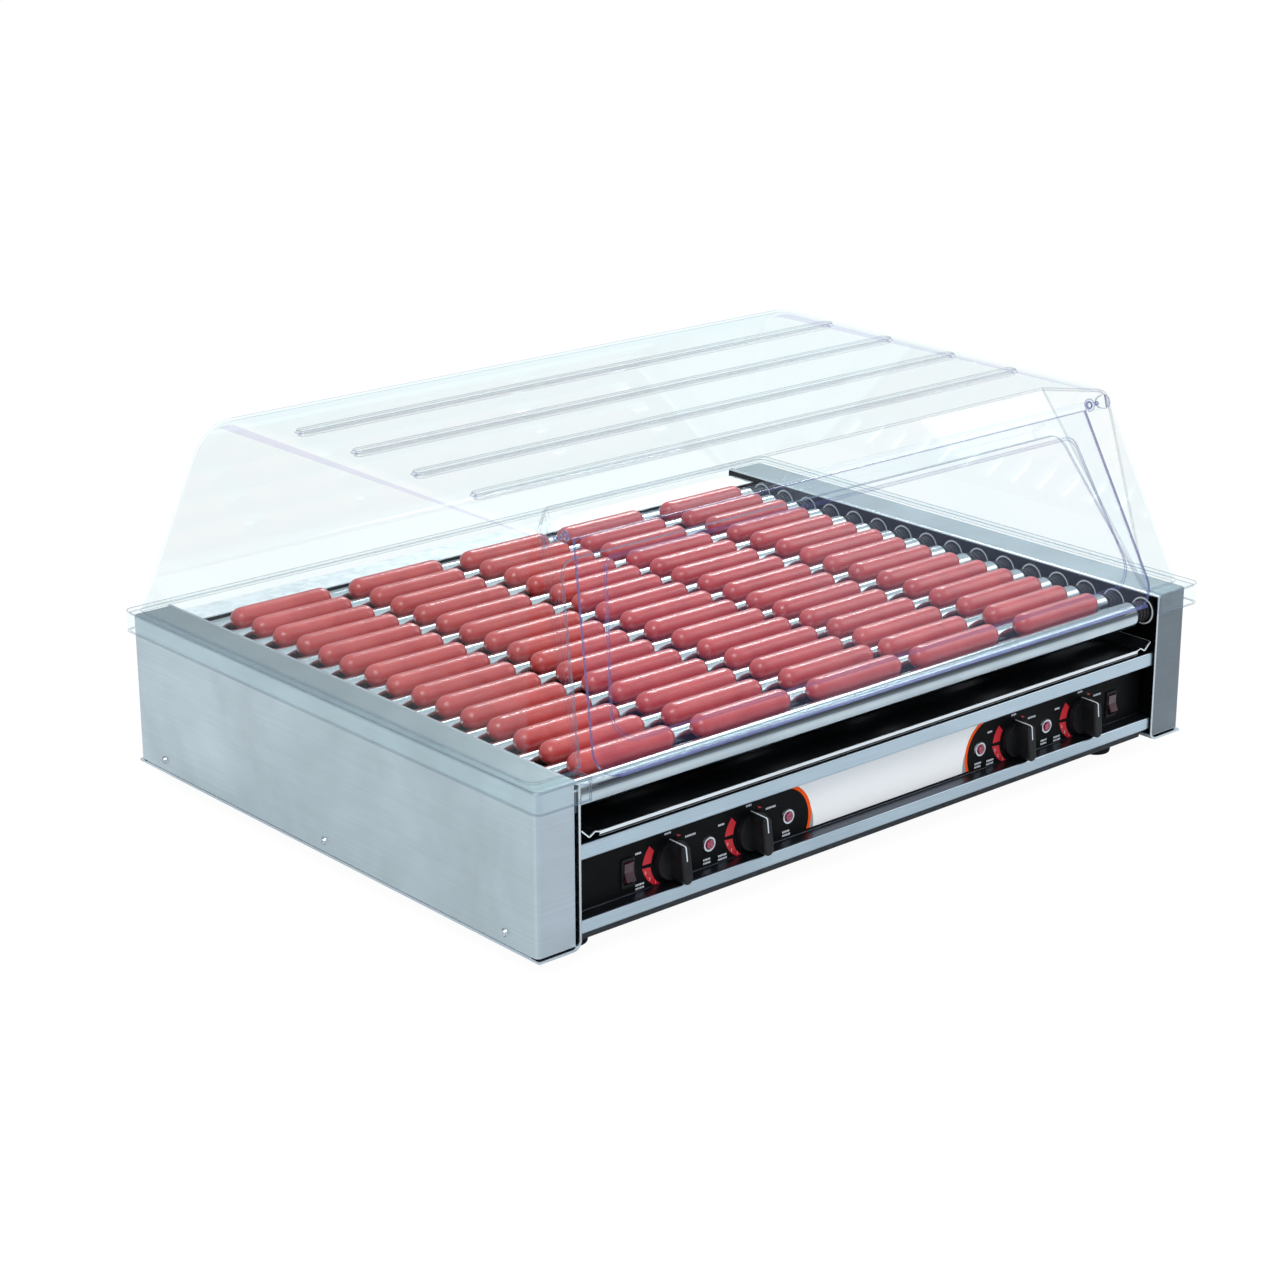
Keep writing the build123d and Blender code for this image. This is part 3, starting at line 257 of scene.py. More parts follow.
def frame_inside(g):
    # Inner faces of the end frames, which get the painted shade
    x = g.math("SUBTRACT", g.split(g.place())[0], MIDDLE.x)
    return g.math("LESS_THAN", g.math("ABSOLUTE", x), INNER_X + 0.4 * MM)


def tray_inside(g):
    """Where the painted shade goes: everything but the upper part of the front lip, which stays bright."""
    _, y, z = g.split(g.place())
    low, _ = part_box("drip_tray")
    in_front = g.math("LESS_THAN", y, low.y + TRAY_LIP_DEPTH)
    is_lip = g.math("MULTIPLY", in_front, g.math("GREATER_THAN", z, low.z + TRAY_LIP_RISE))
    return g.math("SUBTRACT", 1.0, is_lip)


def oiled_steel():
    g = Graph("chain_steel")
    place = g.place()
    film = g.noise(place, 90.0, 4.0, 0.6)
    tone = g.mix(g.fit(film, 0.35, 0.65), rgb(70, 66, 60), rgb(142, 138, 130))
    # Painted highlight: sharp edges are lightened
    tone = g.mix(g.math("MULTIPLY", g.edges(0.0004), 0.7), tone, rgb(205, 205, 200))
    roughness = g.fit(film, 0.3, 0.7, 0.22, 0.5)
    return g.surface(
        g.principled(Base_Color=tone, Metallic=1.0, Roughness=roughness, Normal=g.bump(film, 0.00005))
    )


def zinc_sheet():
    """Galvanised sheet with an angular spangle, painted dark as shade, and a rear deck above the rollers'
    brackets painted near white as if brightly lit.
    """
    g = Graph("galvanised")
    place = g.place()
    z = g.split(place)[2]
    cells = g.add("ShaderNodeTexVoronoi", {"Vector": place, "Scale": 140.0}).outputs["Color"]
    grain = g.split(cells)[0]
    # The spangle is the sheet's own grain; the dark tone is painted shade under the housing
    tone = g.mix(grain, rgb(54, 57, 60), rgb(68, 72, 76))
    # Painted light: the rear deck above DECK_Z is near white
    deck = g.math("GREATER_THAN", z, DECK_Z)
    tone = g.mix(deck, tone, g.mix(grain, rgb(240, 246, 248), rgb(248, 252, 253)))
    # Painted highlight: sharp edges are lightened
    tone = g.mix(g.math("MULTIPLY", g.edges(0.001), 0.5), tone, rgb(205, 210, 214))
    roughness = g.fit(grain, 0, 1, 0.38, 0.5)
    return g.surface(
        g.principled(Base_Color=tone, Metallic=0.85, Roughness=roughness, Normal=g.bump(grain, 0.00002))
    )


def roller_names():
    return sorted(n for n in nodes if n.startswith("roller_") and n[-2:].isdigit())


def bearing_material():
    """Black nylon collars, each with one pale ring painted round the roller's axis as a highlight."""
    g = Graph("bearing_nylon")
    place = g.place()
    _, y, z = g.split(place)
    low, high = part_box("roller_bearings")
    first, second = (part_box(name) for name in roller_names()[:2])
    first_y = (first[0].y + first[1].y) / 2
    pitch = (second[0].y + second[1].y) / 2 - first_y
    reach = (high.z - low.z) / 2
    along = g.math("DIVIDE", g.math("SUBTRACT", y, first_y - pitch / 2), pitch)
    dy = g.math("MULTIPLY", g.math("SUBTRACT", g.math("FRACT", along), 0.5), pitch)
    dz = g.math("SUBTRACT", z, (high.z + low.z) / 2)
    away = g.math("SQRT", g.math("ADD", g.math("MULTIPLY", dy, dy), g.math("MULTIPLY", dz, dz)))
    # Painted highlight: a pale ring near each collar's outer edge
    outside = g.math("GREATER_THAN", away, reach * 0.86)
    ring = g.math("MULTIPLY", outside, g.math("LESS_THAN", away, reach * 0.97))
    fine = g.noise(place, 900.0, 2.0, 0.5)
    tone = g.mix(fine, rgb(12, 12, 14), rgb(26, 27, 30))
    tone = g.mix(ring, tone, g.mix(fine, rgb(190, 196, 198), rgb(224, 228, 228)))
    roughness = g.fit(fine, 0.3, 0.7, 0.36, 0.5)
    return g.surface(g.principled(Base_Color=tone, Roughness=roughness, Normal=g.bump(fine, 0.00003)))


def element_sheath():
    g = Graph("element_sheath")
    place = g.place()
    oxide = g.noise(g.scaled(place, (30, 200, 200)), 1.0, 4.0, 0.65)
    tone = g.mix(oxide, rgb(58, 62, 52), rgb(112, 104, 84))
    roughness = g.fit(oxide, 0.2, 0.8, 0.45, 0.7)
    return g.surface(
        g.principled(Base_Color=tone, Metallic=0.7, Roughness=roughness, Normal=g.bump(oxide, 0.00008))
    )


# ---------------------------------------------------------------- plastics, rubber, paint


def moulded(name, colour, rough=0.42, texture=900.0, depth=0.00004, edge_sheen=0.35, coat=0.0, shine=0.5):
    """Moulded plastic or rubber: fine texture, uneven sheen and sharp edges painted lighter as a highlight.
    """
    g = Graph(name)
    place = g.place()
    fine = g.noise(place, texture, 2.0, 0.5)
    broad = g.noise(place, 45.0, 3.0, 0.6)
    lighter = tuple(min(1, c * 1.5 + 0.012) for c in colour[:3]) + (1,)
    tone = g.mix(g.fit(broad, 0.35, 0.7, 0, 0.5), colour, lighter)
    paler = tuple(min(1, c * 2 + 0.04) for c in colour[:3]) + (1,)
    # Painted highlight: sharp edges are lightened
    tone = g.mix(g.math("MULTIPLY", g.edges(0.0006), edge_sheen), tone, paler)
    broad_roughness = g.fit(broad, 0.3, 0.7, rough - 0.06, rough + 0.08)
    roughness = g.math("ADD", broad_roughness, g.fit(fine, 0.3, 0.7, 0, 0.05))
    shader = g.principled(
        Base_Color=tone, Roughness=roughness, Normal=g.bump(fine, depth, 0.7),
        Coat_Weight=coat, Coat_Roughness=0.15, Specular_IOR_Level=shine,
    )
    return g.surface(shader)


def translucent_red():
    """Rocker buttons: deep red plastic with a hazy core."""
    g = Graph("rocker_red")
    place = g.place()
    haze = g.noise(place, 160.0, 3.0, 0.6)
    tone = g.mix(g.fit(haze, 0.35, 0.65), rgb(34, 8, 16), rgb(70, 16, 34))
    # Painted highlight: sharp edges are lightened
    tone = g.mix(g.math("MULTIPLY", g.edges(0.0006), 0.3), tone, rgb(120, 48, 70))
    shader = g.principled(
        Base_Color=tone, Roughness=g.fit(haze, 0.3, 0.7, 0.12, 0.26), Normal=g.bump(haze, 0.00003),
        Subsurface_Weight=0.3, Subsurface_Radius=(0.004, 0.0006, 0.0008), Coat_Weight=0.6,
    )
    return g.surface(shader)


def pilot_material():
    """One node holds four bright rings and their red lenses, told apart by distance from each axis."""
    g = Graph("pilot_red")
    x, _, z = g.split(g.place())
    low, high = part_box("pilot_lights")
    ring = (high.z - low.z) / 2
    centre_z = (high.z + low.z) / 2
    dz = g.math("SUBTRACT", z, centre_z)
    nearest = None
    for pilot in pilot_centres():
        dx = g.math("SUBTRACT", x, pilot.x)
        away = g.math("SQRT", g.math("ADD", g.math("MULTIPLY", dx, dx), g.math("MULTIPLY", dz, dz)))
        nearest = away if nearest is None else g.math("MINIMUM", nearest, away)
    is_lens = g.math("LESS_THAN", nearest, ring * 0.69)
    facets = g.noise(g.place(), 420.0, 2.0, 0.5)
    glow = g.mix(g.fit(facets, 0.35, 0.65), rgb(96, 14, 38), rgb(178, 48, 88))
    lens = g.principled(
        Base_Color=glow, Roughness=g.fit(facets, 0.3, 0.7, 0.06, 0.2), Coat_Weight=0.8,
        Normal=g.bump(facets, 0.0001), Subsurface_Weight=0.3, Subsurface_Radius=(0.003, 0.0006, 0.0006),
    )
    scratch = g.noise(g.place(), 700.0, 3.0, 0.6)
    tone = g.mix(scratch, rgb(178, 186, 192), rgb(232, 238, 240))
    roughness = g.fit(scratch, 0.3, 0.7, 0.12, 0.3)
    metal = g.principled(
        Base_Color=tone, Metallic=1.0, Roughness=roughness, Normal=g.bump(scratch, 0.00001)
    )
    return g.surface(g.add("ShaderNodeMixShader", {0: is_lens, 1: metal, 2: lens}).outputs[0])


def pilot_centres():
    """Centres of the separate rings of pilot_lights, found from the mesh by splitting it along X."""
    xs = sorted(v.co.x for v in nodes["pilot_lights"].data.vertices)
    low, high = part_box("pilot_lights")
    groups = [[xs[0]]]
    for value in xs[1:]:
        if value - groups[-1][-1] > 0.02:
            groups.append([value])
        else:
            groups[-1].append(value)
    return [Vector(((group[0] + group[-1]) / 2, low.y, (low.z + high.z) / 2)) for group in groups]


def clear_sheet(name, edge_shade_colour, side_tint, side_rim=0.0, low_edge=0.0, blue_reflection_glow=0.0):
    """Thin clear plastic: light passes straight through, tinted more at a slant, with a glossy skin.

    side_tint tints the upright returns beside the door and side_rim paints edge shade on them; below low_edge
    the sheet also gets painted edge shade, and the last argument sets a faint blue glow that is a painted
    reflection.
    """
    g = Graph(name)
    place = g.place()
    haze = g.noise(place, 5.0, 3.0, 0.6, 0.8)
    scuff = g.noise(g.scaled(place, (60, 60, 60)), 1.0, 4.0, 0.7)
    ripple = g.noise(place, 9.0, 1.0, 0.4)
    normal = g.bump(ripple, 0.0006, 0.25)
    slant = g.add("ShaderNodeLayerWeight", {"Blend": 0.35, "Normal": normal}).outputs["Facing"]
    clear = g.mix(g.fit(haze, 0.35, 0.7), (0.978, 0.998, 0.999, 1), (0.986, 0.999, 1.0, 1))
    tint = g.mix(g.fit(slant, 0.35, 1.0), clear, (0.94, 0.982, 0.99, 1))
    tint = g.mix(g.fit(slant, 0.8, 0.97), tint, (0.5, 0.63, 0.7, 1))
    x, _, z = g.split(place)
    sideways = g.math("ABSOLUTE", g.split(g.place("Normal"))[0])
    inner = g.math("LESS_THAN", g.math("ABSOLUTE", g.math("SUBTRACT", x, DOOR_X)), RETURN_X)
    sides = g.math("MULTIPLY", g.math("GREATER_THAN", sideways, 0.8), inner)
    tint = g.mix(sides, tint, side_tint)
    through = g.add("ShaderNodeBsdfTransparent", {"Color": tint}).outputs[0]
    roughness = g.fit(scuff, 0.5, 0.8, 0.02, 0.08)
    gloss = {"Color": (0.95, 0.98, 1.0, 1), "Roughness": roughness, "Normal": normal}
    skin = g.add("ShaderNodeBsdfGlossy", gloss)
    fresnel = g.add("ShaderNodeFresnel", {"IOR": 1.49, "Normal": normal}).outputs[0]
    shine = g.math("MULTIPLY", fresnel, 0.07)
    pane = g.add("ShaderNodeMixShader", {0: shine, 1: through, 2: skin.outputs[0]})
    # Painted shade: bends, the band below low_edge and the door's returns get an opaque darker edge colour
    painted_edge_shade = g.principled(Base_Color=edge_shade_colour, Roughness=0.25, Coat_Weight=0.5)
    rim = g.math("MULTIPLY", g.edges(0.0028), 0.75)
    rim = g.math("MAXIMUM", rim, g.math("MULTIPLY", g.math("LESS_THAN", z, low_edge), 0.75))
    rim = g.math("MAXIMUM", rim, g.math("MULTIPLY", sides, side_rim))
    body = g.add("ShaderNodeMixShader", {0: rim, 1: pane.outputs[0], 2: painted_edge_shade}).outputs[0]
    # Painted reflection: a faint blue glow added over the sheet
    painted_reflection_glow = g.add("ShaderNodeEmission", {"Color": (0.25, 0.32, 1.0, 1), "Strength": blue_reflection_glow}).outputs[0]
    body = g.add("ShaderNodeAddShader", {0: body, 1: painted_reflection_glow}).outputs[0]
    path = g.add("ShaderNodeLightPath").outputs
    skip = g.math("MAXIMUM", path["Is Shadow Ray"], path["Is Diffuse Ray"])
    light_only = g.add("ShaderNodeBsdfTransparent", {"Color": (0.95, 0.985, 0.99, 1)}).outputs[0]
    return g.surface(g.add("ShaderNodeMixShader", {0: skip, 1: body, 2: light_only}).outputs[0])


# ---------------------------------------------------------------- printed panel


BAND = 3.8 * MM
GREY_SHIFT = 3.0 * MM
BLACK_LEFT = MIDDLE.x - 0.097
BLACK_RIGHT = MIDDLE.x + 0.1295
ARC_R = 0.036
ARC_Z = 0.062


def past_arc(g, x, z, edge, sign, radius, centre_z):
    """Distance beyond a black end whose inner edge is an arc; negative inside it."""
    dx = g.math("MULTIPLY", g.math("SUBTRACT", x, edge - sign * radius), sign)
    dz = g.math("SUBTRACT", z, centre_z)
    forward = g.math("MAXIMUM", dx, 0.0)
    away = g.math("SQRT", g.math("ADD", g.math("MULTIPLY", forward, forward), g.math("MULTIPLY", dz, dz)))
    behind = g.math("LESS_THAN", dx, 0.0)
    return g.math("SUBTRACT", g.math("SUBTRACT", away, radius), behind)


def overlay_material():
    """Printed film: black ends with round inner edges, an orange and a grey band, and a white middle."""
    g = Graph("label_film")
    x, _, z = g.split(g.place())
    orange = None
    grey = None
    for edge, sign in ((BLACK_LEFT, 1), (BLACK_RIGHT, -1)):
        reach = past_arc(g, x, z, edge, sign, ARC_R, ARC_Z)
        lower = past_arc(g, x, z, edge + sign * GREY_SHIFT, sign, ARC_R, ARC_Z - 3 * GREY_SHIFT)
        orange = reach if orange is None else g.math("MINIMUM", orange, reach)
        grey = lower if grey is None else g.math("MINIMUM", grey, lower)
    fleck = g.noise(g.place(), 500.0, 2.0, 0.5)
    black = g.mix(fleck, rgb(5, 5, 6), rgb(13, 13, 15))
    tone = g.mix(g.math("GREATER_THAN", grey, BAND), rgb(150, 162, 166), rgb(253, 253, 253))
    tone = g.mix(g.math("LESS_THAN", orange, BAND), tone, rgb(252, 88, 12))
    tone = g.mix(g.math("LESS_THAN", orange, 0.0), tone, black)
    roughness = g.fit(g.noise(g.place(), 60.0, 3.0, 0.6), 0.3, 0.7, 0.4, 0.55)
    shader = g.principled(
        Base_Color=tone, Roughness=roughness, Normal=g.bump(fleck, 0.00001, 0.4), Specular_IOR_Level=0.08
    )
    return g.surface(shader)


def ink(name, colour):
    g = Graph(name)
    mottle = g.noise(g.place(), 600.0, 3.0, 0.6)
    darker = tuple(c * 0.8 for c in colour[:3]) + (1,)
    tone = g.mix(g.fit(mottle, 0.3, 0.7), darker, colour)
    roughness = g.fit(mottle, 0.3, 0.7, 0.3, 0.45)
    return g.surface(g.principled(Base_Color=tone, Roughness=roughness, Normal=g.bump(mottle, 0.00001)))


# ---------------------------------------------------------------- food


def sausage_material():
    """Moist skin: salmon red with darker mottling, fine bumps and a wet gloss."""
    g = Graph("sausage_skin")
    place = g.place()
    blotch = g.noise(place, 26.0, 4.0, 0.62, 0.6)
    speck = g.noise(place, 340.0, 3.0, 0.6)
    pimple = g.add("ShaderNodeTexVoronoi", {"Vector": place, "Scale": 420.0}).outputs["Distance"]
    shade = g.add("ShaderNodeObjectInfo").outputs["Random"]
    tone = g.mix(g.fit(blotch, 0.3, 0.72), rgb(178, 44, 44), rgb(204, 74, 70))
    tone = g.mix(g.fit(speck, 0.55, 0.75, 0, 0.4), tone, rgb(138, 36, 36))
    tone = g.mix(g.fit(shade, 0, 1, 0, 0.22), tone, rgb(178, 58, 62))
    roughness = g.math("ADD", g.fit(blotch, 0.3, 0.7, 0.26, 0.42), g.fit(speck, 0.3, 0.7, 0, 0.08))
    height = g.math("ADD", g.math("MULTIPLY", pimple, 0.6), speck)
    wrinkles = g.bump(g.noise(place, 95.0, 3.0, 0.65), 0.0009, 0.7)
    shader = g.principled(
        Base_Color=tone, Roughness=roughness, Normal=g.bump(height, 0.00016, 0.8),
        Subsurface_Weight=0.12, Subsurface_Radius=(0.004, 0.0012, 0.001), Subsurface_Scale=1.0,
        Coat_Weight=0.6, Coat_Roughness=0.09, Coat_Normal=wrinkles,
    )
    return g.surface(shader)


SAUSAGE_RINGS = 44
SAUSAGE_SIDES = 36


def add_sausage(mesh, tip, length, radius, seed):
    """One sausage along +X from tip: full rounded ends with a small pucker, and gently uneven skin."""
    rings = []
    phase = random.uniform(0, math.tau)
    for i in range(SAUSAGE_RINGS + 1):
        t = i / SAUSAGE_RINGS
        u = 0.5 - 0.5 * math.cos(math.pi * t)
        x = u * length
        end = min(x, length - x) / (radius * 1.05)
        fullness = 1.0 if end >= 1 else math.sqrt(max(0.0, 1 - (1 - end) ** 2.1))
        ring = []
        for k in range(SAUSAGE_SIDES):
            a = math.tau * k / SAUSAGE_SIDES
            direction = Vector((0, math.cos(a), math.sin(a)))
            sample = Vector((x * 26, direction.y * 0.55, direction.z * 0.55)) + Vector((seed, 0, 0))
            swell = 1 - 0.022 * (0.5 + 0.5 * noise.noise(sample))
            pucker = 0.0
            if end < 0.3:
                pucker = 0.05 * (1 - end / 0.3) * math.sin(7 * a + phase)
            r = radius * fullness * swell * (1 + pucker)
            ring.append(mesh.verts.new(tip + Vector((x, 0, 0)) + direction * r))
        rings.append(ring)
    for first, second in zip(rings, rings[1:]):
        for k in range(SAUSAGE_SIDES):
            n = (k + 1) % SAUSAGE_SIDES
            mesh.faces.new((first[k], first[n], second[n], second[k]))


def new_piece(name, mesh, material, body):
    data = bpy.data.meshes.new(name)
    bmesh.ops.recalc_face_normals(mesh, faces=mesh.faces)
    mesh.to_mesh(data)
    mesh.free()
    data.materials.append(material)
    piece = bpy.data.objects.new(name, data)
    bpy.context.scene.collection.objects.link(piece)
    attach(piece, body)
    return piece


def smooth(piece):
    for polygon in piece.data.polygons:
        polygon.use_smooth = True


def sausage_spans(node):
    """Left and right ends of the sausages of a row, from gaps along X in the CAD mesh."""
    data = nodes[node].data
    spans = []
    for face in data.polygons:
        xs = [data.vertices[i].co.x for i in face.vertices]
        spans.append((min(xs), max(xs)))
    spans.sort()
    merged = [list(spans[0])]
    for low, high in spans[1:]:
        if low <= merged[-1][1] + 1e-6:
            merged[-1][1] = max(merged[-1][1], high)
        else:
            merged.append([low, high])
    return merged


def lay_sausages(material):
    for name in sorted(n for n in nodes if n.startswith("hot_dogs_")):
        low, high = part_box(name)
        centre = (low + high) / 2
        radius = (high.z - low.z) / 2
        mesh = bmesh.new()
        for left, right in sausage_spans(name):
            length = right - left - random.uniform(0, 3) * MM
            slide = random.uniform(-2.5, 2.5) * MM
            tip = Vector((left + slide, centre.y, centre.z))
            add_sausage(mesh, tip, length, radius - 0.05 * MM, random.uniform(0, 90))
        bmesh.ops.remove_doubles(mesh, verts=mesh.verts, dist=0.00002)
        piece = new_piece(name + "_skin", mesh, material, name)
        smooth(piece)
        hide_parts(name)


# ---------------------------------------------------------------- knobs and dials


def add_prism(mesh, front, back):
    """Solid between two loops of vertices that match one to one."""
    mesh.faces.new(front)
    mesh.faces.new(list(reversed(back)))
    count = len(front)
    for i in range(count):
        n = (i + 1) % count
        mesh.faces.new((front[i], back[i], back[n], front[n]))


def plate(name, outline, plane_y, thickness, material):
    """Thin printed shape: outline is (x, z) points, its back on plane_y, facing -Y."""
    mesh = bmesh.new()
    back = [mesh.verts.new((x, plane_y, z)) for x, z in outline]
    front = [mesh.verts.new((x, plane_y - thickness, z)) for x, z in outline]
    add_prism(mesh, front, back)
    return new_piece(name, mesh, material, "chassis")


def swept(first, last, steps=16):
    """Points from one (radius, angle) to another, both changing evenly; angles in degrees from +X."""
    points = []
    for i in range(steps + 1):
        share = i / steps
        r = (first[0] + (last[0] - first[0]) * share) * MM
        a = math.radians(first[1] + (last[1] - first[1]) * share)
        points.append((r * math.cos(a), r * math.sin(a)))
    return points


# Red scale left of each knob, in (radius mm, angle) round the knob's axis
SCALE_HIGH = (((36.0, 175.4), (34.1, 143.1)), ((25.6, 146.8), (25.2, 173.6)))
SCALE_LOW = (((36.2, 180.6), (29.2, 225.7)), ((24.9, 236.0), (25.9, 182.9)))
MARK = ((6.6, 23.2), (12.4, 20.6), (8.0, 20.4))
NUMBERS = ((32.7, 189.9), (30.1, 205.6), (26.9, 223.2))
# Plain bars in place of captions: (x, z) from the knob's axis, width and number of lines
CAPTIONS = ((-41.0, 15.9, 7.0, 1), (-5.0, 26.0, 7.0, 1), (23.4, 16.3, 12.0, 1), (-39.4, -15.8, 10.0, 2))
PILOT_CAPTION = (-2.0, -16.6, 9.0, 2)
LEAN = math.radians(7)
GRIP_REACH = 21.0 * MM


def knob_details(red, white):
    """Pointer line on each knob, and its printed scale with plain numbers on the panel."""
    face_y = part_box("control_overlay")[0].y
    for name in ("front", "front_middle", "rear_middle", "rear"):
        low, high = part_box(name + "_knob")
        centre = Vector(((low.x + high.x) / 2, face_y, (low.z + high.z) / 2))
        add_pointer(name, centre, low.y, white)
        for part, (outer, inner) in (("high", SCALE_HIGH), ("low", SCALE_LOW)):
            outline = [(centre.x + x, centre.z + z) for x, z in swept(*outer) + swept(*inner)]
            plate(f"{name}_scale_{part}", outline, face_y, 0.12 * MM, red)
        mark = [(centre.x + x * MM, centre.z + z * MM) for x, z in MARK]
        plate(f"{name}_mark", mark, face_y, 0.12 * MM, red)
        for index, (radius, angle) in enumerate(NUMBERS):
            (x, z), = swept((radius, angle), (radius, angle), 1)[:1]
            spot = Vector((centre.x + x, face_y - 0.13 * MM, centre.z + z))
            number(f"{name}_number_{index}", str(3 - index), spot, 4.0 * MM, white)
        for index, (x, z, width, lines) in enumerate(CAPTIONS):
            caption(f"{name}_caption_{index}", centre.x + x * MM, centre.z + z * MM, width, lines, white)
    for index, pilot in enumerate(pilot_centres()):
        x, z, width, lines = PILOT_CAPTION
        caption(f"pilot_caption_{index}", pilot.x + x * MM, pilot.z + z * MM, width, lines, white)


def add_pointer(name, centre, front_y, white):
    """White line along the leaning grip's upper end and part way down its front."""
    up = Vector((-math.sin(LEAN), 0, math.cos(LEAN)))
    side = Vector((math.cos(LEAN), 0, math.sin(LEAN)))
    stops = [
        (centre.y - 0.4 * MM, GRIP_REACH),
        (front_y + 2.2 * MM, GRIP_REACH - 0.7 * MM),
        (front_y + 0.9 * MM, GRIP_REACH - 1.1 * MM),
        (front_y + 0.25 * MM, GRIP_REACH - 1.9 * MM),
        (front_y, GRIP_REACH - 3.0 * MM),
        (front_y, GRIP_REACH - 16.5 * MM),
    ]
    mesh = bmesh.new()
    path = [Vector((centre.x, y, centre.z)) + up * reach for y, reach in stops]
    ribbon(mesh, path, side * 0.65 * MM, 0.15 * MM, centre)
    new_piece(name + "_pointer", mesh, white, name + "_knob")


def caption(name, x, z, width, lines, material):
    """Rows of short plain bars where a caption is printed."""
    mesh = bmesh.new()
    face_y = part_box("control_overlay")[0].y - 0.06 * MM
    for line in range(lines):
        bottom = z - line * 3.6 * MM
        left = x - width / 2 * MM
        while left < x + width / 2 * MM:
            right = left + random.uniform(1.1, 1.7) * MM
            corners = ((left, bottom), (right, bottom), (right, bottom + 2.0 * MM), (left, bottom + 2.0 * MM))
            front = [mesh.verts.new((cx, face_y - 0.06 * MM, cz)) for cx, cz in corners]
            back = [mesh.verts.new((cx, face_y, cz)) for cx, cz in corners]
            add_prism(mesh, front, back)
            left = right + 0.5 * MM
    new_piece(name, mesh, material, "chassis")


def ribbon(mesh, path, half, depth, centre):
    """Flat inlaid line along a path, half to each side, standing depth proud of the knob."""
    rows = []
    for i, point in enumerate(path):
        before = path[max(0, i - 1)]
        after = path[min(len(path) - 1, i + 1)]
        out = (after - before).normalized().cross(half.normalized())
        if out.dot(point - centre) < 0:
            out = -out
        inner = point - out * 0.3 * MM
        outer = point + out * depth
        rows.append([mesh.verts.new(p) for p in (inner - half, inner + half, outer + half, outer - half)])
    for a, b in zip(rows, rows[1:]):
        for k in range(4):
            n = (k + 1) % 4
            mesh.faces.new((a[k], a[n], b[n], b[k]))
    mesh.faces.new(rows[0])
    mesh.faces.new(list(reversed(rows[-1])))


def number(name, text, spot, height, material):
    """A small printed numeral on the panel, as mesh."""
    curve = bpy.data.curves.new(name, "FONT")
    curve.body = text
    curve.size = height
    curve.extrude = 0.05 * MM
    curve.align_x = "CENTER"
    curve.align_y = "CENTER"
    letter = bpy.data.objects.new(name, curve)
    bpy.context.scene.collection.objects.link(letter)
    letter.rotation_euler = (math.radians(90), 0, 0)
    letter.location = spot
    bpy.context.view_layer.update()
    depsgraph = bpy.context.evaluated_depsgraph_get()
    data = bpy.data.meshes.new_from_object(letter.evaluated_get(depsgraph))
    data.transform(letter.matrix_world)
    bpy.data.objects.remove(letter)
    data.materials.clear()
    data.materials.append(material)
    piece = bpy.data.objects.new(name, data)
    bpy.context.scene.collection.objects.link(piece)
    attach(piece, "chassis")


# ---------------------------------------------------------------- dressing the frame


def dress(material, *names):
    for name in names:
        data = nodes[name].data
        data.materials.clear()
        data.materials.append(material)


# Heights of the lower rail's step and of the rear deck, and half the width between the end frames
RAIL_STEP_Z = 0.0455
DECK_Z = 0.172
INNER_X = 0.401
TRAY_LIP_DEPTH = 1.3 * MM
TRAY_LIP_RISE = 1.8 * MM
# Upright returns of the guard and its door lie within RETURN_X of DOOR_X
door_low, door_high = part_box("guard_door")
DOOR_X = (door_low.x + door_high.x) / 2
RETURN_X = (door_high.x - door_low.x) / 2 + 6.0 * MM
steel_plain = rgb(206, 216, 222)
# The second colour is the painted shade for the insides of the end frames and the tray
steel_painted_shade = rgb(20, 21, 24)

# Both covers carry painted shade; the right cover's copy paints much darker shade on the faces toward the
# operator
stainless_brushed = brushed_metal(
    "brushed_stainless", rgb(202, 214, 217), (10, 10, 1100), 0.36, flat_grain=(1100, 10, 10), front=0.86
)
shaded_brushed = brushed_metal(
    "brushed_stainless_shaded", rgb(196, 208, 213), (10, 10, 1100), 0.36,
    flat_grain=(1100, 10, 10), front=0.36,
)
screw_steel = brushed_metal("screw_steel", rgb(198, 206, 212), (400, 400, 400), 0.22)
rubber = moulded("rubber", rgb(16, 17, 19), 0.6, 700.0, 0.00008)
steel_dark = oiled_steel()
red_ink = ink("scale_red", rgb(212, 14, 36))
white_ink = ink("white_ink", rgb(226, 230, 236))

dress(stainless_brushed, "left_end_cover")
dress(shaded_brushed, "right_end_cover")
dress(rail_sheet(), "control_channel")
dress(dark_inside("stainless", steel_plain, steel_painted_shade, frame_inside), "end_frames")
dress(dark_inside("tray_steel", rgb(238, 242, 244), steel_painted_shade, tray_inside), "drip_tray")
dress(screw_steel, "cover_screws")
dress(zinc_sheet(), "base_pan", "mounting_brackets")
dress(rubber, "feet", "roller_seals")
dress(overlay_material(), "control_overlay")
dress(moulded("phenolic", rgb(60, 46, 38), 0.5), "thermostats")
dress(pilot_material(), "pilot_lights")
dress(moulded("switch_black", rgb(9, 10, 12), 0.45, shine=0.2), "rocker_housings")
dress(translucent_red(), "front_rocker", "rear_rocker")
dress(
    moulded("knob_black", rgb(11, 12, 14), 0.4, 1200.0, 0.00003, 0.5, 0.0, 0.25),
    *[n + "_knob" for n in ("front", "front_middle", "rear_middle", "rear")],
)
dress(bearing_material(), "roller_bearings")
dress(element_sheath(), "heating_elements")
dress(moulded("motor_paint", rgb(48, 50, 54), 0.42, 500.0), "gearmotors")
dress(steel_dark, "drive_chains", "front_drive_sprocket", "rear_drive_sprocket")
dress(moulded("cord_black", rgb(22, 22, 24), 0.55, 500.0), "power_cord")
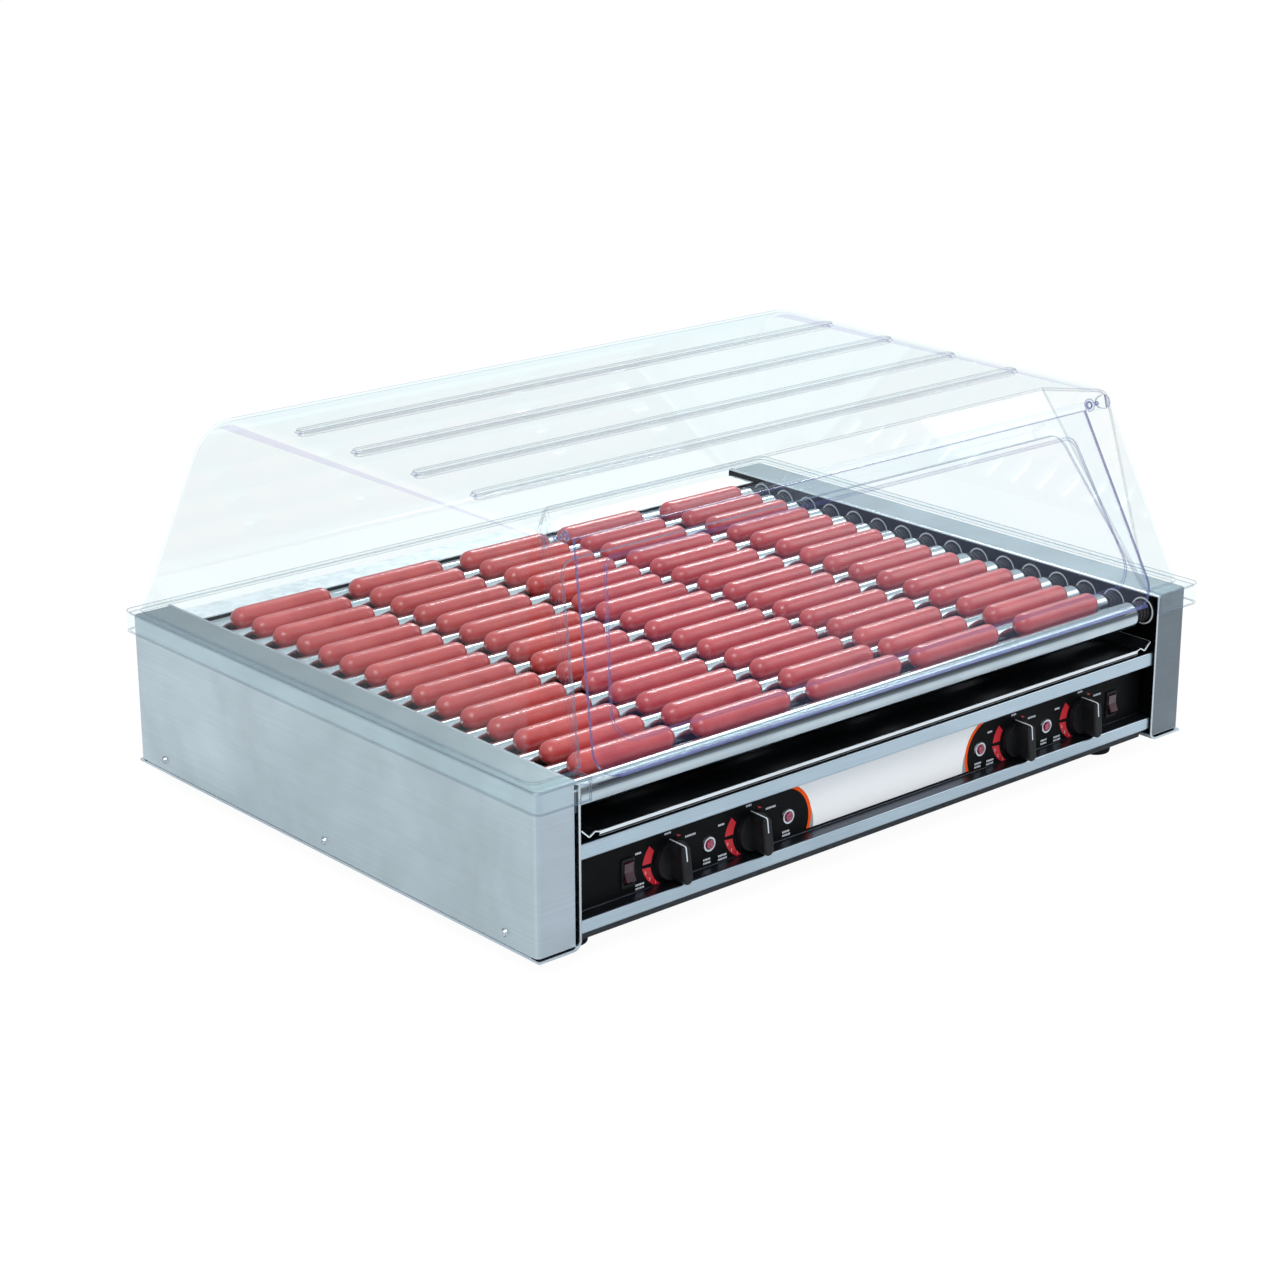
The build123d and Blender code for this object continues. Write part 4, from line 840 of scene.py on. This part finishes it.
# The first colour given to each clear sheet is its painted edge shade
dress(clear_sheet("clear_sheet", rgb(98, 112, 134), (0.85, 0.83, 0.93, 1)), "guard_hood")
door_edge_shade = rgb(88, 92, 146)
door_lip = door_low.z + 2.2 * MM
dress(clear_sheet("clear_door", door_edge_shade, (0.8, 0.8, 0.92, 1), 0.6, door_lip, 0.012), "guard_door")
dress(chrome_material(), *roller_names())
lay_sausages(sausage_material())
knob_details(red_ink, white_ink)

# ---------------------------------------------------------------- studio

AZIMUTH = math.radians(-40.997)
ELEVATION = math.radians(18.973)
DISTANCE = 3.0696
TARGET = MIDDLE + Vector((-0.0213, 0.0185, 0.1382))
ROLL = math.radians(-0.117)
SENSOR_WIDTH = 36.0
LENS = 80.91
# Half sizes of the painted shadow on the floor under the housing, and how softly it starts
SHADE_X = 0.425
SHADE_Y = 0.292
SHADE_SOFT = 0.02
FLOOR_HALF = 60.0
FLOOR_LIFT = 0.93
FLOOR_GLOW = 1.03


def add_camera():
    back = Vector((
        math.sin(AZIMUTH) * math.cos(ELEVATION),
        -math.cos(AZIMUTH) * math.cos(ELEVATION),
        math.sin(ELEVATION),
    ))
    data = bpy.data.cameras.new("camera")
    data.sensor_width = SENSOR_WIDTH
    data.lens = LENS
    camera = bpy.data.objects.new("camera", data)
    bpy.context.scene.collection.objects.link(camera)
    camera.location = TARGET + back * DISTANCE
    camera.rotation_mode = "QUATERNION"
    camera.rotation_quaternion = (-back).to_track_quat("-Z", "Y") @ Quaternion((0, 0, 1), ROLL)
    bpy.context.scene.camera = camera


def add_light(name, location, target, size, power, colour=(1, 1, 1)):
    data = bpy.data.lights.new(name, "AREA")
    data.shape = "RECTANGLE"
    data.size, data.size_y = size
    data.energy = power
    data.color = colour
    light = bpy.data.objects.new(name, data)
    bpy.context.scene.collection.objects.link(light)
    light.location = MIDDLE + Vector(location)
    aim = Vector(target) - Vector(location)
    light.rotation_mode = "QUATERNION"
    light.rotation_quaternion = aim.to_track_quat("-Z", "Y")


def add_floor():
    """Wide pale floor; seen directly it is nearly white, with a dark shadow painted under the grill."""
    mesh = bmesh.new()
    bmesh.ops.create_grid(mesh, x_segments=8, y_segments=8, size=FLOOR_HALF)
    data = bpy.data.meshes.new("floor")
    mesh.to_mesh(data)
    mesh.free()
    g = Graph("floor_white")
    mottle = g.noise(g.place(), 3.0, 3.0, 0.5)
    seen = g.add("ShaderNodeLightPath").outputs["Is Camera Ray"]
    x, y, _ = g.split(g.place())
    x = g.math("SUBTRACT", x, MIDDLE.x)
    y = g.math("SUBTRACT", y, MIDDLE.y)
    inset_x = g.math("SUBTRACT", SHADE_X, g.math("ABSOLUTE", x))
    inset_y = g.math("ADD", y, SHADE_Y)
    under = g.math("MULTIPLY", g.fit(inset_x, 0.0, SHADE_SOFT), g.fit(inset_y, 0.0, SHADE_SOFT))
    under = g.math("MULTIPLY", under, g.math("LESS_THAN", y, SHADE_Y))
    tone = g.mix(seen, g.mix(mottle, rgb(214, 218, 221), rgb(220, 223, 226)), rgb(252, 252, 252))
    # Painted shadow: the floor below the housing is dark and gets no lift
    tone = g.mix(under, tone, rgb(16, 16, 18))
    diffuse = g.principled(Base_Color=tone, Roughness=0.75)
    glow = g.add("ShaderNodeEmission", {"Color": (1, 1, 1, 1), "Strength": FLOOR_GLOW}).outputs[0]
    lift = g.math("MULTIPLY", g.math("MULTIPLY", seen, FLOOR_LIFT), g.math("SUBTRACT", 1.0, under))
    data.materials.append(g.surface(g.add("ShaderNodeMixShader", {0: lift, 1: diffuse, 2: glow}).outputs[0]))
    floor = bpy.data.objects.new("floor", data)
    bpy.context.scene.collection.objects.link(floor)


def add_world():
    """Plain white where seen directly; the metal reflects a room that darkens downwards."""
    world = bpy.data.worlds.new("studio")
    world.use_nodes = True
    tree = world.node_tree
    tree.nodes.clear()
    output = tree.nodes.new("ShaderNodeOutputWorld")
    background = tree.nodes.new("ShaderNodeBackground")
    place = tree.nodes.new("ShaderNodeTexCoord")
    split = tree.nodes.new("ShaderNodeSeparateXYZ")
    ramp = tree.nodes.new("ShaderNodeValToRGB")
    ramp.color_ramp.elements[0].position = 0.0
    ramp.color_ramp.elements[0].color = (0.36, 0.39, 0.43, 1)
    ramp.color_ramp.elements[1].position = 0.8
    ramp.color_ramp.elements[1].color = (0.95, 0.97, 1.0, 1)
    middle = ramp.color_ramp.elements.new(0.35)
    middle.color = (0.62, 0.66, 0.70, 1)
    tree.links.new(place.outputs["Generated"], split.inputs[0])
    tree.links.new(split.outputs["Z"], ramp.inputs[0])
    tree.links.new(ramp.outputs[0], background.inputs["Color"])
    plain = tree.nodes.new("ShaderNodeBackground")
    plain.inputs["Color"].default_value = (0.96, 0.96, 0.96, 1)
    seen = tree.nodes.new("ShaderNodeLightPath")
    both = tree.nodes.new("ShaderNodeMixShader")
    tree.links.new(seen.outputs["Is Camera Ray"], both.inputs[0])
    tree.links.new(background.outputs[0], both.inputs[1])
    tree.links.new(plain.outputs[0], both.inputs[2])
    tree.links.new(both.outputs[0], output.inputs["Surface"])
    bpy.context.scene.world = world


add_camera()
add_floor()
add_world()
add_light("key", (-1.6, -1.4, 2.6), (0, 0, 0.2), (1.6, 1.6), 40)
add_light("fill", (2.4, -1.2, 1.6), (0, 0, 0.2), (1.4, 1.8), 14)
add_light("back", (2.0, 1.5, 2.2), (0, 0, 0.2), (1.1, 0.5), 26)
scene = bpy.context.scene
scene.view_settings.view_transform = "Standard"
scene.cycles.max_bounces = 20
scene.cycles.transmission_bounces = 18
scene.cycles.transparent_max_bounces = 24
scene.cycles.use_denoising = True
